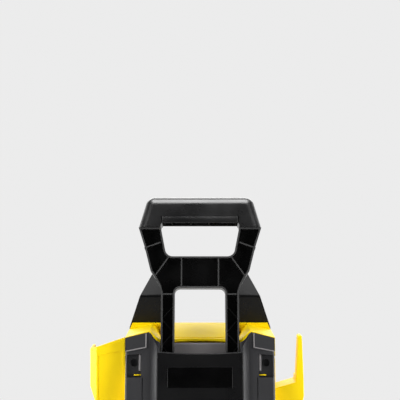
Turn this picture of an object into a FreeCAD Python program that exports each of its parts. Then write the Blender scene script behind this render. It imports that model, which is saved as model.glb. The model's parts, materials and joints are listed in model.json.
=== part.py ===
import FreeCAD, Part
import math
import os
import Sketcher

# An upright domestic pressure washer.  +Z is up, the front faces -Y, the floor is z = 0.
# The handle, its guides and the front cover share one lean: in their own frame x is across,
# y runs from the front (-) to the back (+) and z runs up along the lean.

Vector = FreeCAD.Vector
doc = FreeCAD.newDocument("PressureWasher")

SIZES = [
    # overall
    ("overall_depth", 297.0, "front of the toe to the back of the wheels"),
    ("track_half", 140.0, "outer face of a wheel from the middle"),
    ("lean_angle", 12.5, "lean of the handle and front cover, in degrees"),
    ("toe_step", 38.5, "front of the toe to where the leaning plane meets the floor"),
    ("body_half", 94.0, "half width of the yellow shell"),
    ("wall", 3.0, "thickness of the mouldings"),
    ("gap", 0.3, "gap between neighbouring shells"),
    ("split_z", 480.0, "joint line between the side panels and the hood"),
    ("shell_front", 74.0, "inner edge of a side panel's rim"),
    ("rear_joint_y", 72.0, "joint line between the side panels and the rear shell"),
    ("rear_depth", 32.0, "depth of the rear shell"),
    ("rear_corner", 15.0, "corner radius of the rear shell"),
    # base and running gear
    ("base_half", 97.0, "half width of the base"),
    ("base_low", 12.0, "underside of the base"),
    ("base_top", 93.0, "top of the base"),
    ("base_back", 110.0, "back of the base"),
    ("toe_depth", 44.0, "depth of the closed toe"),
    ("toe_corner", 28.0, "corner radius of the toe"),
    ("screw_radius", 1.8, "case screws"),
    ("foot_radius", 14.0, "rubber foot"),
    ("foot_x", 60.0, "rubber foot from the middle"),
    ("foot_y", -115.0, "rubber foot"),
    ("wheel_radius", 70.0, "tyre"),
    ("tyre_depth", 14.0, "tyre, rim to tread"),
    ("wheel_width", 37.0, "tyre width"),
    ("axle_radius", 6.0, "steel axle"),
    ("running_fit", 0.05, "radial clearance of what turns"),
    ("hub_radius", 12.0, "wheel hub"),
    # hood and carrying arch
    ("shoulder_low_z", 502.7, "hood shoulder at its outer edge"),
    ("shoulder_high_z", 510.6, "hood shoulder at its inner edge"),
    ("shoulder_x", 63.0, "inner edge of a shoulder's top"),
    ("valley_half", 50.0, "half width of the valley between the shoulders"),
    ("throat_space", 3.15, "behind a handle leg to the front edge of the valley"),
    ("valley_front_z", 494.5, "valley at its front edge"),
    ("hood_top_z", 511.5, "top of the hood's back wall"),
    ("hood_back", 6.0, "thickness of the hood's back wall"),
    ("arch_top_z", 592.0, "top of the carrying arch"),
    ("arch_brow_z", 547.0, "where the arch starts to slope back"),
    ("arch_step_z", 577.0, "where the slope meets the upright front of the bar"),
    ("arch_step_y", 100.0, "front of the bar at its top"),
    ("arch_back_y", 112.0, "back of the arch"),
    ("arch_lid", 6.0, "thickness of the arch's back"),
    ("arch_open_half", 44.0, "half width of the hand opening in the arch"),
    ("arch_open_low", 504.0, "bottom of that opening"),
    ("arch_open_top", 560.0, "top of that opening"),
    # front cover, in the leaning frame
    ("cover_half", 92.0, "half width of the front cover"),
    ("cover_low", 84.0, "bottom edge, before it is trimmed level with the base"),
    ("cover_back", -5.0, "rear edge"),
    ("flank_front", -22.0, "face of a flank"),
    ("cover_front", -31.0, "face of the middle"),
    ("cap_front", -25.0, "face of the caps at the top of the flanks"),
    ("ridge_x", 60.5, "foot of the bevel between flank and middle"),
    ("brow_x", 53.0, "top of that bevel"),
    ("cover_corner", 511.7, "top of the cover at its outer corner"),
    ("cover_peak", 519.3, "highest point of the cover"),
    ("cover_dip", 494.8, "top of the cover beside a handle leg"),
    ("niche_low", 464.0, "bottom of the niche in a flank"),
    ("niche_high", 492.6, "top of the niche"),
    ("niche_in", 72.4, "inner wall of the niche"),
    ("niche_out", 90.0, "outer wall of the niche"),
    ("panel_half", 52.5, "half width of the middle panel"),
    ("panel_low", 172.0, "bottom of the middle panel"),
    ("panel_high", 494.2, "top of the middle panel"),
    ("panel_thick", 2.0, "thickness of the middle panel"),
    ("badge_half", 40.0, "half width of the blank nameplate"),
    ("badge_low", 451.0, "bottom of the nameplate"),
    ("badge_high", 476.0, "top of the nameplate"),
    # handle, in the leaning frame
    ("leg_in", 32.0, "inner face of a leg"),
    ("leg_out", 49.2, "outer face of a leg"),
    ("leg_half_depth", 9.0, "half depth of the handle moulding"),
    ("leg_low", 150.0, "bottom of the legs with the handle down"),
    ("handle_split", 653.4, "where the grip meets the frame"),
    ("handle_top", 693.4, "top of the grip"),
    ("shoulder_half", 78.7, "half width of the handle at that joint"),
    ("grip_half_top", 67.0, "half width of the grip's top"),
    ("grip_half_depth", 15.0, "half depth of the grip"),
    ("handle_wall", 2.2, "wall of the handle moulding"),
    ("rib_wall", 1.6, "stiffening ribs"),
    ("rib_pitch", 33.0, "one zigzag of the ribs"),
    ("guide_low", 330.0, "bottom of the leg guides"),
    ("guide_high", 480.0, "top of the leg guides"),
    ("slide_gap", 0.4, "clearance round a leg in its guide"),
    # gun holster and hose hook
    ("holster_out", 138.0, "outer face of the holster"),
    ("holster_face", 129.3, "outer edge of its front wall"),
    ("holster_front_y", -8.0, "front wall of holster and hook"),
    ("holster_back_y", 58.0, "rear wall of the holster"),
    ("holster_low", 365.0, "bottom of the holster"),
    ("holster_taper_z", 441.0, "where the holster starts to narrow"),
    ("holster_foot", 108.0, "outer face at the bottom"),
    ("holster_lip_out", 491.3, "top edge, outer end"),
    ("holster_lip_in", 503.6, "top edge, inner end"),
    ("hook_tip_z", 505.4, "tip of the hose hook"),
    ("hook_depth", 32.0, "depth of the hose hook"),
    ("prong_depth", 18.0, "depth of the hose hook's prong"),
    # controls and water
    ("knob_z", 240.0, "power knob up the cover"),
    ("knob_radius", 28.0, "power knob"),
    ("knob_depth", 22.0, "power knob"),
    ("spindle_radius", 4.0, "power knob's spindle"),
    ("outlet_z", 130.0, "high-pressure outlet above the floor"),
    ("outlet_radius", 11.0, "M22 outlet thread"),
    ("outlet_bore", 7.05, "14 mm seal bore of the outlet"),
    ("outlet_thread", 14.0, "length of the outlet's thread"),
    ("collar_radius", 28.0, "plastic collar round the outlet"),
    ("inlet_x", 12.0, "water inlet from the middle"),
    ("inlet_z", 125.0, "water inlet above the floor"),
    ("inlet_radius", 13.2, "G 3/4 inlet thread"),
    ("inlet_bore", 9.0, "bore of the inlet"),
    ("inlet_thread", 15.0, "length of the inlet's thread"),
    ("hook_pivot_z", 430.0, "pivot of the turning cable hook"),
    # motor and pump
    ("drive_y", 42.0, "motor and pump axes"),
    ("gear_module", 1.25, "gear module"),
    ("pinion_teeth", 12.0, "pinion"),
    ("wheel_teeth", 36.0, "drive gear"),
    ("motor_radius", 42.0, "motor case"),
    ("shaft_radius", 4.0, "motor shaft"),
    ("pump_step", 30.0, "axle up to the bottom of the pump head"),
    ("head_height", 50.0, "pump head"),
    ("block_height", 50.0, "piston block"),
    ("gearbox_height", 96.0, "gear housing"),
    ("motor_height", 102.0, "motor case"),
    ("swash_radius", 34.0, "wobble plate"),
    ("swash_tilt", 8.0, "tilt of the wobble plate, in degrees"),
    ("piston_radius", 6.5, "pistons"),
    ("piston_circle", 23.0, "pistons from the pump axis"),
]


class Size:
    """A size worked out from the sheet: its value now, and the formula that gives it."""

    def __init__(self, value, formula):
        self.value = value
        self.formula = formula

    def __add__(self, other):
        other = as_size(other)
        return Size(self.value + other.value, f"({self.formula} + {other.formula})")

    def __sub__(self, other):
        other = as_size(other)
        return Size(self.value - other.value, f"({self.formula} - {other.formula})")

    def __mul__(self, other):
        other = as_size(other)
        return Size(self.value * other.value, f"({self.formula} * {other.formula})")

    def __truediv__(self, other):
        other = as_size(other)
        return Size(self.value / other.value, f"({self.formula} / {other.formula})")

    def __radd__(self, other):
        return as_size(other) + self

    def __rsub__(self, other):
        return as_size(other) - self

    def __rmul__(self, other):
        return as_size(other) * self

    def __neg__(self):
        return Size(-self.value, f"(-1 * {self.formula})")


def as_size(number):
    return number if isinstance(number, Size) else Size(float(number), f"({float(number)})")


def cosine(angle):
    return Size(math.cos(math.radians(angle.value)), f"cos({angle.formula})")


def sine(angle):
    return Size(math.sin(math.radians(angle.value)), f"sin({angle.formula})")


def tangent(angle):
    return Size(math.tan(math.radians(angle.value)), f"tan({angle.formula})")


class SizeSheet:
    """The spreadsheet of driving dimensions.  sheet.wall gives the size called wall."""

    def __init__(self, rows):
        self.cells = doc.addObject("Spreadsheet::Sheet", "Sizes")
        self.values = {}
        for number, (alias, value, meaning) in enumerate(rows, start=1):
            self.cells.set(f"A{number}", str(value))
            self.cells.setAlias(f"A{number}", alias)
            self.cells.set(f"B{number}", meaning)
            self.values[alias] = value
        doc.recompute()

    def __getattr__(self, alias):
        return Size(self.values[alias], f"Sizes.{alias}")


sheet = SizeSheet(SIZES)
lean_cos = cosine(sheet.lean_angle)
lean_sin = sine(sheet.lean_angle)
lean_tan = tangent(sheet.lean_angle)
front_y = -sheet.overall_depth / 2
lean_foot_y = front_y + sheet.toe_step
parts = []


# --- helpers -----------------------------------------------------------------------------------


def bind(thing, path, size):
    """Ties one number of an object to its formula."""
    thing.setExpression(path, as_size(size).formula)


def place(thing, at, lean=False):
    """Puts an object at a point, upright or with the lean."""
    if lean:
        thing.Placement = FreeCAD.Placement(
            Vector(), FreeCAD.Rotation(Vector(1, 0, 0), -sheet.lean_angle.value)
        )
        bind(thing, "Placement.Rotation.Angle", -sheet.lean_angle)
    for letter, size in zip("xyz", at):
        bind(thing, f"Placement.Base.{letter}", size)


def lean_point(x, y, z):
    """A point of the leaning frame in the upright frame."""
    return (x, lean_foot_y + y * lean_cos + z * lean_sin, z * lean_cos - y * lean_sin)


def lean_line(depth, height):
    """The y at which the leaning plane of that depth passes that height above the floor."""
    return lean_foot_y + as_size(depth) / lean_cos + height * lean_tan


def new_body(name, at=(0, 0, 0), lean=False):
    body = doc.addObject("PartDesign::Body", name)
    body.Label = name
    place(body, at, lean)
    return body


def leaning_body(name):
    return new_body(name, lean_point(0, 0, 0), lean=True)


def keep(thing, name=None):
    """Marks an object as a finished sub-part, under the name of its node."""
    if name:
        thing.Label = name
    parts.append(thing)
    return thing


def box_line(x_low, y_low, x_high, y_high):
    """The four corners of a rectangle."""
    return [(x_low, y_low), (x_high, y_low), (x_high, y_high), (x_low, y_high)]


def circle(x, y, radius):
    return ("circle", x, y, radius)


def mirrored(corners):
    """The same outline on the other side of x = 0."""
    return [(-as_size(corner[0]), *corner[1:]) for corner in corners]


def both_sides(half):
    """A symmetric outline from its right half, listed from the bottom to the top."""
    return half + [(-as_size(corner[0]), *corner[1:]) for corner in reversed(half)]


def draw_circle(sketch, x, y, radius):
    index = sketch.addGeometry(Part.Circle(Vector(x.value, y.value, 0), Vector(0, 0, 1), radius.value))
    for kind, size in (("DistanceX", x), ("DistanceY", y)):
        number = sketch.addConstraint(Sketcher.Constraint(kind, -1, 1, index, 3, size.value))
        sketch.setExpression(f"Constraints[{number}]", size.formula)
    number = sketch.addConstraint(Sketcher.Constraint("Radius", index, radius.value))
    sketch.setExpression(f"Constraints[{number}]", radius.formula)


def draw_edge(sketch, start, end, rise):
    """A straight edge, or an arc that rises by that much to the left of the way from start to end.
    Gives the edge's index and which of its ends is the start."""
    a = Vector(start[0].value, start[1].value, 0)
    b = Vector(end[0].value, end[1].value, 0)
    if rise is None:
        return sketch.addGeometry(Part.LineSegment(a, b)), 1
    left = Vector(a.y - b.y, b.x - a.x, 0).normalize()
    middle = (a + b) * 0.5 + left * rise.value
    turns_right = rise.value > 0
    arc = Part.Arc(b, middle, a) if turns_right else Part.Arc(a, middle, b)
    index = sketch.addGeometry(arc)
    first = 2 if turns_right else 1
    run_x = end[0] - start[0]
    run_y = end[1] - start[1]
    height = rise if rise.value > 0 else -rise
    radius = (run_x * run_x / 4 + run_y * run_y / 4 + height * height) / (2 * height)
    number = sketch.addConstraint(Sketcher.Constraint("Radius", index, radius.value))
    sketch.setExpression(f"Constraints[{number}]", radius.formula)
    return index, first


def draw_outline(sketch, corners):
    """A closed outline.  A corner with a third value bows the edge that leaves it by that rise."""
    points = [tuple(as_size(value) for value in corner) for corner in corners]
    edges = []
    for start, end in zip(points, points[1:] + points[:1]):
        edges.append(draw_edge(sketch, start, end, start[2] if len(start) > 2 else None))
    for (index, first), (after, after_first) in zip(edges, edges[1:] + edges[:1]):
        sketch.addConstraint(Sketcher.Constraint("Coincident", index, 3 - first, after, after_first))
    for (index, first), point in zip(edges, points):
        for kind, size in (("DistanceX", point[0]), ("DistanceY", point[1])):
            number = sketch.addConstraint(Sketcher.Constraint(kind, -1, 1, index, first, size.value))
            sketch.setExpression(f"Constraints[{number}]", size.formula)


def new_sketch(body, plane, outlines, offset):
    """A sketch on one of the body's own planes, moved along the plane's normal."""
    sketch = body.newObject("Sketcher::SketchObject", "sketch")
    support = [item for item in body.Origin.OriginFeatures if item.Role == plane + "_Plane"][0]
    sketch.AttachmentSupport = [(support, "")]
    sketch.MapMode = "FlatFace"
    bind(sketch, "AttachmentOffset.Base.z", offset)
    for outline in outlines:
        if outline[0] == "circle":
            draw_circle(sketch, *[as_size(value) for value in outline[1:]])
        else:
            draw_outline(sketch, outline)
    return sketch


def pad(body, plane, outlines, low, high):
    """Adds material between two heights along the plane's axis.  The XZ plane's normal is -Y."""
    low, high = as_size(low), as_size(high)
    sketch = new_sketch(body, plane, outlines, -high if plane == "XZ" else low)
    feature = body.newObject("PartDesign::Pad", "pad")
    feature.Profile = sketch
    bind(feature, "Length", high - low)
    return feature


def pocket(body, plane, outlines, low, high):
    """Removes material between two heights along the plane's axis."""
    low, high = as_size(low), as_size(high)
    sketch = new_sketch(body, plane, outlines, -low if plane == "XZ" else high)
    feature = body.newObject("PartDesign::Pocket", "pocket")
    feature.Profile = sketch
    bind(feature, "Length", high - low)
    return feature


def spin(body, plane, outline, axis, kind="Revolution"):
    """Turns an outline a full circle about the sketch's V or H axis."""
    sketch = new_sketch(body, plane, [outline], 0)
    feature = body.newObject(f"PartDesign::{kind}", kind.lower())
    feature.Profile = sketch
    feature.ReferenceAxis = (sketch, [axis])
    feature.Angle = 360
    return feature


def row_of(body, feature, step, count, axis="V_Axis"):
    """Repeats a feature along its sketch's axis."""
    pattern = body.newObject("PartDesign::LinearPattern", "row")
    pattern.Originals = [feature]
    pattern.Direction = (feature.Profile[0], [axis])
    bind(pattern, "Length", step * (count - 1))
    pattern.Occurrences = count
    body.Tip = pattern
    return pattern


def ring_of(body, feature, count, axis):
    """Repeats a feature round one of the body's own axes."""
    pattern = body.newObject("PartDesign::PolarPattern", "ring")
    pattern.Originals = [feature]
    line = [item for item in body.Origin.OriginFeatures if item.Role == axis + "_Axis"][0]
    pattern.Axis = (line, [""])
    pattern.Angle = 360
    pattern.Occurrences = count
    body.Tip = pattern
    return pattern


def within(value, wanted):
    """True where no value is wanted, where it is the wanted one, or inside the wanted pair."""
    if wanted is None:
        return True
    low, high = wanted if isinstance(wanted, tuple) else (wanted, wanted)
    return as_size(low).value - 0.05 < value < as_size(high).value + 0.05


def find_edges(shape, along=None, x=None, y=None, z=None):
    """Names of the edges whose box lies within the given places, straight along an axis if asked."""
    names = []
    for number, edge in enumerate(shape.Edges, start=1):
        box = edge.BoundBox
        spans = {"X": box.XLength, "Y": box.YLength, "Z": box.ZLength}
        if along and any(span > 0.01 for axis, span in spans.items() if axis != along):
            continue
        middle = box.Center
        if within(middle.x, x) and within(middle.y, y) and within(middle.z, z):
            names.append(f"Edge{number}")
    return names


def round_off(body, radius, kind="Fillet", **places):
    """Rounds or chamfers the picked edges of a body."""
    doc.recompute()
    base = body.Tip
    names = find_edges(base.Shape, **places)
    if not names:
        raise ValueError(f"{body.Label}: no edge at {places}")
    feature = body.newObject(f"PartDesign::{kind}", kind.lower())
    feature.Base = (base, names)
    bind(feature, "Radius" if kind == "Fillet" else "Size", radius)
    return feature


def hollow(body, wall, axis, place_at):
    """Leaves a shell of that wall, open at the flat face found at that place on an axis."""
    doc.recompute()
    base = body.Tip
    names = []
    for number, face in enumerate(base.Shape.Faces, start=1):
        box = face.BoundBox
        low, high = {"X": (box.XMin, box.XMax), "Y": (box.YMin, box.YMax), "Z": (box.ZMin, box.ZMax)}[axis]
        if high - low < 0.01 and abs(low - as_size(place_at).value) < 0.05:
            names.append(f"Face{number}")
    feature = body.newObject("PartDesign::Thickness", "shell")
    feature.Base = (base, names)
    bind(feature, "Value", wall)
    feature.Reversed = True
    feature.Join = 1
    return feature


def bar(name, axis, at, radius, length):
    """A round bar from a point along an axis."""
    thing = doc.addObject("Part::Cylinder", name)
    turns = {
        "X": FreeCAD.Rotation(Vector(0, 1, 0), 90),
        "Y": FreeCAD.Rotation(Vector(1, 0, 0), -90),
        "Z": FreeCAD.Rotation(),
    }
    thing.Placement = FreeCAD.Placement(Vector(), turns[axis])
    place(thing, at)
    bind(thing, "Radius", radius)
    bind(thing, "Height", length)
    return thing


def block(name, low, high):
    """A box between two corners."""
    thing = doc.addObject("Part::Box", name)
    place(thing, low)
    for key, start, end in zip(("Length", "Width", "Height"), low, high):
        bind(thing, key, as_size(end) - start)
    return thing


def cut(name, base, tool):
    thing = doc.addObject("Part::Cut", name)
    thing.Base = base
    thing.Tool = tool
    thing.Label = name
    return thing


def join(name, pieces):
    """Fuses pieces into one solid."""
    thing = doc.addObject("Part::MultiFuse", name)
    thing.Shapes = pieces
    thing.Label = name
    return thing


def group(name, pieces):
    """Keeps separate solids together in one node."""
    thing = doc.addObject("Part::Compound", name)
    thing.Links = pieces
    thing.Label = name
    return thing


def ring(name, axis, at, inner, outer, length):
    """A plain ring or sleeve."""
    disc = bar(name + "_disc", axis, at, outer, length)
    return cut(name, disc, bar(name + "_hole", axis, at, inner, length))


def screw(name, axis, at, head_radius, head, shank_radius, shank, sign=1):
    """A round-headed screw: the head starts at the point and the shank goes on along the axis.
    A sign of -1 turns it round."""
    index = "XYZ".index(axis)
    head_at, shank_at = list(at), list(at)
    if sign > 0:
        shank_at[index] = at[index] + as_size(head)
    else:
        head_at[index] = at[index] - as_size(head)
        shank_at[index] = head_at[index] - as_size(shank)
    return join(
        name,
        [
            bar(name + "_head", axis, head_at, head_radius, head),
            bar(name + "_shank", axis, shank_at, shank_radius, shank),
        ],
    )


# --- base and running gear ---------------------------------------------------------------------

axle_y = sheet.overall_depth / 2 - sheet.wheel_radius
axle_z = sheet.wheel_radius
rim_radius = sheet.wheel_radius - sheet.tyre_depth
wheel_in = sheet.track_half - sheet.wheel_width
shell_low = sheet.base_top + 2 * sheet.gap
block_low = axle_z + sheet.pump_step
valley_front_y = lean_line(sheet.leg_half_depth, sheet.valley_front_z) + sheet.throat_space


def make_base_tray():
    """The black chassis: an open tray behind, a closed rounded toe in front."""
    body = new_body("base_tray")
    half, wall = sheet.base_half, sheet.wall
    toe_end = front_y + sheet.toe_depth
    pad(body, "XY", [box_line(-half, front_y, half, sheet.base_back)], sheet.base_low, sheet.base_top)
    round_off(body, sheet.toe_corner, along="Z", y=front_y)
    round_off(body, 10, along="Z", y=sheet.base_back)
    slope_drop, slope_run = 26, 27
    slope = [
        (front_y - 1, sheet.base_top - slope_drop),
        (front_y, sheet.base_top - slope_drop),
        (front_y + slope_run, sheet.base_top),
        (front_y + slope_run, sheet.base_top + 1),
        (front_y - 1, sheet.base_top + 1),
    ]
    pocket(body, "YZ", [slope], -half - 1, half + 1)
    tray = box_line(-half + wall, toe_end, half - wall, sheet.base_back - wall)
    pocket(body, "XY", [tray], sheet.base_low + wall, sheet.base_top)
    toe_front = front_y + 2 * wall
    toe = box_line(-half + sheet.toe_corner, toe_front, half - sheet.toe_corner, toe_end - wall)
    pocket(body, "XY", [toe], sheet.base_low, sheet.base_top - slope_drop - wall)
    hole = circle(axle_y, axle_z, sheet.axle_radius + sheet.running_fit)
    pocket(body, "YZ", [hole], -half, half)
    keep(body)


def make_front_feet():
    """Two rubber pucks under the toe."""
    feet = []
    for side in (-1, 1):
        body = new_body(f"foot_{side + 2}", (side * sheet.foot_x, sheet.foot_y, 0))
        pad(body, "XY", [circle(0, 0, sheet.foot_radius)], 0, sheet.base_low)
        round_off(body, 2, z=0)
        feet.append(body)
    keep(group("front_feet", feet))


def make_wheel(side, name):
    """One wheel: a spoked rim, a ribbed tyre and a snap-on hub cap, turning about the X axis."""
    centre = (0, axle_y, axle_z)
    hub, bore = sheet.hub_radius, sheet.axle_radius + sheet.running_fit
    band_in = rim_radius - 7
    face, back = sheet.track_half - 3, wheel_in + 3
    web_in, web_out = face - 12, face - 9
    cap_seat = face - 3
    clip_seat = cap_seat - 6
    outline = [
        (back - 2.5, bore),
        (clip_seat, bore),
        (clip_seat, hub - 2),
        (cap_seat, hub - 2),
        (cap_seat, hub),
        (web_out, hub),
        (web_out, band_in),
        (face, band_in),
        (face, rim_radius),
        (back, rim_radius),
        (back, band_in),
        (web_in, band_in),
        (web_in, hub),
        (back - 2.5, hub),
    ]
    rim = new_body(f"{name}_rim", centre)
    spin(rim, "XZ", [(side * corner[0], corner[1]) for corner in outline], "H_Axis")
    window_in, window_out = hub + 7, band_in - 6
    window = [(-4, window_in), (4, window_in), (9, window_out, 1.5), (-9, window_out)]
    low, high = (web_in - 1, web_out + 1) if side > 0 else (-web_out - 1, -web_in + 1)
    hole = pocket(rim, "YZ", [window], low, high)
    ring_of(rim, hole, 8, "X")
    keep(rim)

    tread = sheet.wheel_radius
    groove, across = 2, 4
    middle = sheet.track_half - sheet.wheel_width / 2
    tyre_line = [
        (back - 1, rim_radius),
        (face + 1, rim_radius),
        (sheet.track_half, rim_radius + 5),
        (sheet.track_half, tread - 5),
        (sheet.track_half - 4, tread, 0.1),
        (middle + 7 + across, tread),
        (middle + 7 + across, tread - groove),
        (middle + 7, tread - groove),
        (middle + 7, tread),
        (middle - 7, tread),
        (middle - 7, tread - groove),
        (middle - 7 - across, tread - groove),
        (middle - 7 - across, tread),
        (wheel_in + 4, tread),
        (wheel_in, tread - 5),
        (wheel_in, rim_radius + 5),
    ]
    tyre_line = [corner[:2] for corner in tyre_line]
    tyre = new_body(f"{name}_tyre", centre)
    spin(tyre, "XZ", [(side * corner[0], corner[1]) for corner in tyre_line], "H_Axis")
    notch = pocket(
        tyre,
        "YZ",
        [box_line(-2, tread - groove, 2, tread + 1)],
        side * (middle + 7 + across) if side > 0 else -sheet.track_half,
        sheet.track_half if side > 0 else -(middle + 7 + across),
    )
    ring_of(tyre, notch, 24, "X")
    keep(tyre)

    cap = new_body(f"{name}_hub_cap", centre)
    cap_line = [
        (cap_seat, 0),
        (cap_seat, hub + 2),
        (cap_seat + 2.5, hub + 2),
        (sheet.track_half - 0.5, hub - 3),
        (sheet.track_half - 0.5, 0),
    ]
    spin(cap, "XZ", [(side * corner[0], corner[1]) for corner in cap_line], "H_Axis")
    keep(cap)


def make_axle():
    """A steel rod through the base, with a spacer inside each wheel and a clip outside it."""
    end = sheet.track_half - 7.5
    keep(bar("axle", "X", (-end, axle_y, axle_z), sheet.axle_radius, 2 * end), "axle")
    hub_back = wheel_in + 0.5
    seat = sheet.track_half - 12
    spacers = []
    clips = []
    for side in (-1, 1):
        low = sheet.base_half if side > 0 else -(hub_back - sheet.gap)
        width = hub_back - sheet.gap - sheet.base_half
        at = (low, axle_y, axle_z)
        spacers.append(ring(f"spacer_{side + 2}", "X", at, sheet.axle_radius, sheet.hub_radius - 2, width))
        low = seat + sheet.gap if side > 0 else -(seat + sheet.gap + 1.2)
        clips.append(ring(f"clip_{side + 2}", "X", (low, axle_y, axle_z), sheet.axle_radius, 9, 1.2))
    keep(group("axle_spacers", spacers))
    keep(group("axle_clips", clips))


# --- yellow shell ------------------------------------------------------------------------------

seam = sheet.cover_back + sheet.gap


def shell_screws():
    """Places of the six screws that hold the rear shell."""
    return [(side * (sheet.body_half - 16), z) for side in (-1, 1) for z in (150, 270, 450)]


def arch_screws():
    """Places of the two screws that hold the back of the carrying arch."""
    return [(side * (sheet.body_half - 30), sheet.arch_brow_z - 7) for side in (-1, 1)]


def make_side_panel(side, name):
    """A yellow side: a shallow shell with cooling slots that follow the lean."""
    body = new_body(name)
    half, inner = sheet.body_half, sheet.shell_front
    low, high = (inner, half) if side > 0 else (-half, -inner)
    top = sheet.split_z - sheet.gap
    back = sheet.rear_joint_y - sheet.gap
    outline = [
        (lean_line(seam, shell_low), shell_low),
        (back, shell_low),
        (back, top),
        (lean_line(seam, top), top),
    ]
    pad(body, "YZ", [outline], low, high)
    round_off(body, sheet.wall + 1, x=side * half)
    wall = sheet.wall
    room = [
        (lean_line(seam + wall, shell_low + wall), shell_low + wall),
        (back - wall, shell_low + wall),
        (back - wall, top - wall),
        (lean_line(seam + wall, top - wall), top - wall),
    ]
    pocket(body, "YZ", [room], inner if side > 0 else -half + wall, half - wall if side > 0 else -inner)
    holes = [circle(x, z, sheet.screw_radius) for x, z in shell_screws() if x.value * side > 0]
    pocket(body, "XZ", holes, back - wall - 1, back + 1)
    slot_low, slot_high, slot_front, slot_back = 300, 304, -2, 48
    slope = (slot_high - slot_low) * lean_tan
    slot = [
        (slot_front, slot_low),
        (slot_back, slot_low),
        (slot_back + slope, slot_high),
        (slot_front + slope, slot_high),
    ]
    wall_low, wall_high = (half - 5, half + 1) if side > 0 else (-half - 1, -half + 5)
    first = pocket(body, "YZ", [slot], wall_low, wall_high)
    row_of(body, first, 11, 10)
    keep(body)


def make_top_hood():
    """The yellow top: two shoulders, a valley between them and an upright back wall."""
    wall = sheet.wall
    valley_back = sheet.rear_joint_y - sheet.hood_back

    def solid(name, inset):
        """The hood's outside, or with an inset the room inside it."""
        body = new_body(name)
        down = 1 if inset else 0
        low = sheet.split_z - down
        half = sheet.body_half - inset
        inner = sheet.valley_half + inset
        peak = sheet.shoulder_high_z - inset
        shoulder = [
            (inner, low),
            (half, low),
            (half, sheet.shoulder_low_z - inset),
            (sheet.shoulder_x, peak),
            (inner, peak - 12),
        ]
        front = -12 + inset * 2.2
        pad(body, "XZ", [shoulder, mirrored(shoulder)[::-1]], front, valley_back + (0 if inset else 1))
        rise = sheet.hood_top_z - sheet.valley_front_z
        run = valley_back - valley_front_y
        step = inset * 1.05
        ramp_low = sheet.valley_front_z - step + inset * rise / run
        ramp = [
            (valley_front_y + inset, low),
            (valley_back, low),
            (valley_back, sheet.hood_top_z - step),
            (valley_front_y + inset, ramp_low),
        ]
        cover = inset + 1 if inset else 1
        pad(body, "YZ", [ramp], -sheet.valley_half - cover, sheet.valley_half + cover)
        return body

    outside = solid("hood_outside", 0)
    half, top = sheet.body_half, sheet.hood_top_z
    wall_line = both_sides([(half, sheet.split_z), (half, sheet.shoulder_low_z - 1.5), (half - 4, top)])
    pad(outside, "XZ", [wall_line], valley_back, sheet.rear_joint_y - sheet.gap)
    lean_low, lean_high = sheet.split_z - 1, top + 4
    slope = [
        (lean_line(seam, lean_low) - 20, lean_low),
        (lean_line(seam, lean_low), lean_low),
        (lean_line(seam, lean_high), lean_high),
        (lean_line(seam, lean_high) - 20, lean_high),
    ]
    pocket(outside, "YZ", [slope], -half - 1, half + 1)
    bow = 5
    reach = sheet.valley_half - 0.01
    smile = [
        (-reach, valley_front_y - 3),
        (reach, valley_front_y - 3),
        (reach, valley_front_y + bow, -bow),
        (-reach, valley_front_y + bow),
    ]
    pocket(outside, "XY", [smile], sheet.split_z, sheet.hood_top_z)
    line_y = valley_front_y + bow + 7
    groove_floor = sheet.valley_front_z + 2.4
    groove = box_line(line_y, groove_floor, line_y + 1.6, sheet.hood_top_z)
    pocket(outside, "YZ", [groove], -reach, reach)
    inside = solid("hood_inside", wall)
    keep(cut("top_hood", outside, inside))


def arch_outline(inset):
    """The carrying arch seen from the front."""
    half = sheet.body_half - inset
    low = sheet.split_z
    return both_sides(
        [
            (half, low),
            (half, low + 25 - inset / 2),
            (half - 13.8, sheet.arch_brow_z - inset / 2),
            (half - 28, sheet.arch_top_z - 19.5 - inset / 2),
            (half - 39, sheet.arch_top_z - inset),
        ]
    )


def arch_opening(grow):
    """The hand opening in the arch."""
    half = sheet.arch_open_half + grow
    return box_line(-half, sheet.arch_open_low - grow, half, sheet.arch_open_top + grow)


def arch_slope(body, inset):
    """Cuts the sloping brow of the arch."""
    y0 = sheet.rear_joint_y + inset
    step_y = sheet.arch_step_y + inset
    z0 = sheet.arch_brow_z - inset / 2
    step_z = sheet.arch_step_z - inset / 2
    top = sheet.arch_top_z + 1
    half = sheet.body_half + 1
    corners = [(y0 - 2, z0), (y0, z0), (step_y, step_z), (step_y, top), (y0 - 2, top)]
    pocket(body, "YZ", [corners], -half, half)


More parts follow.
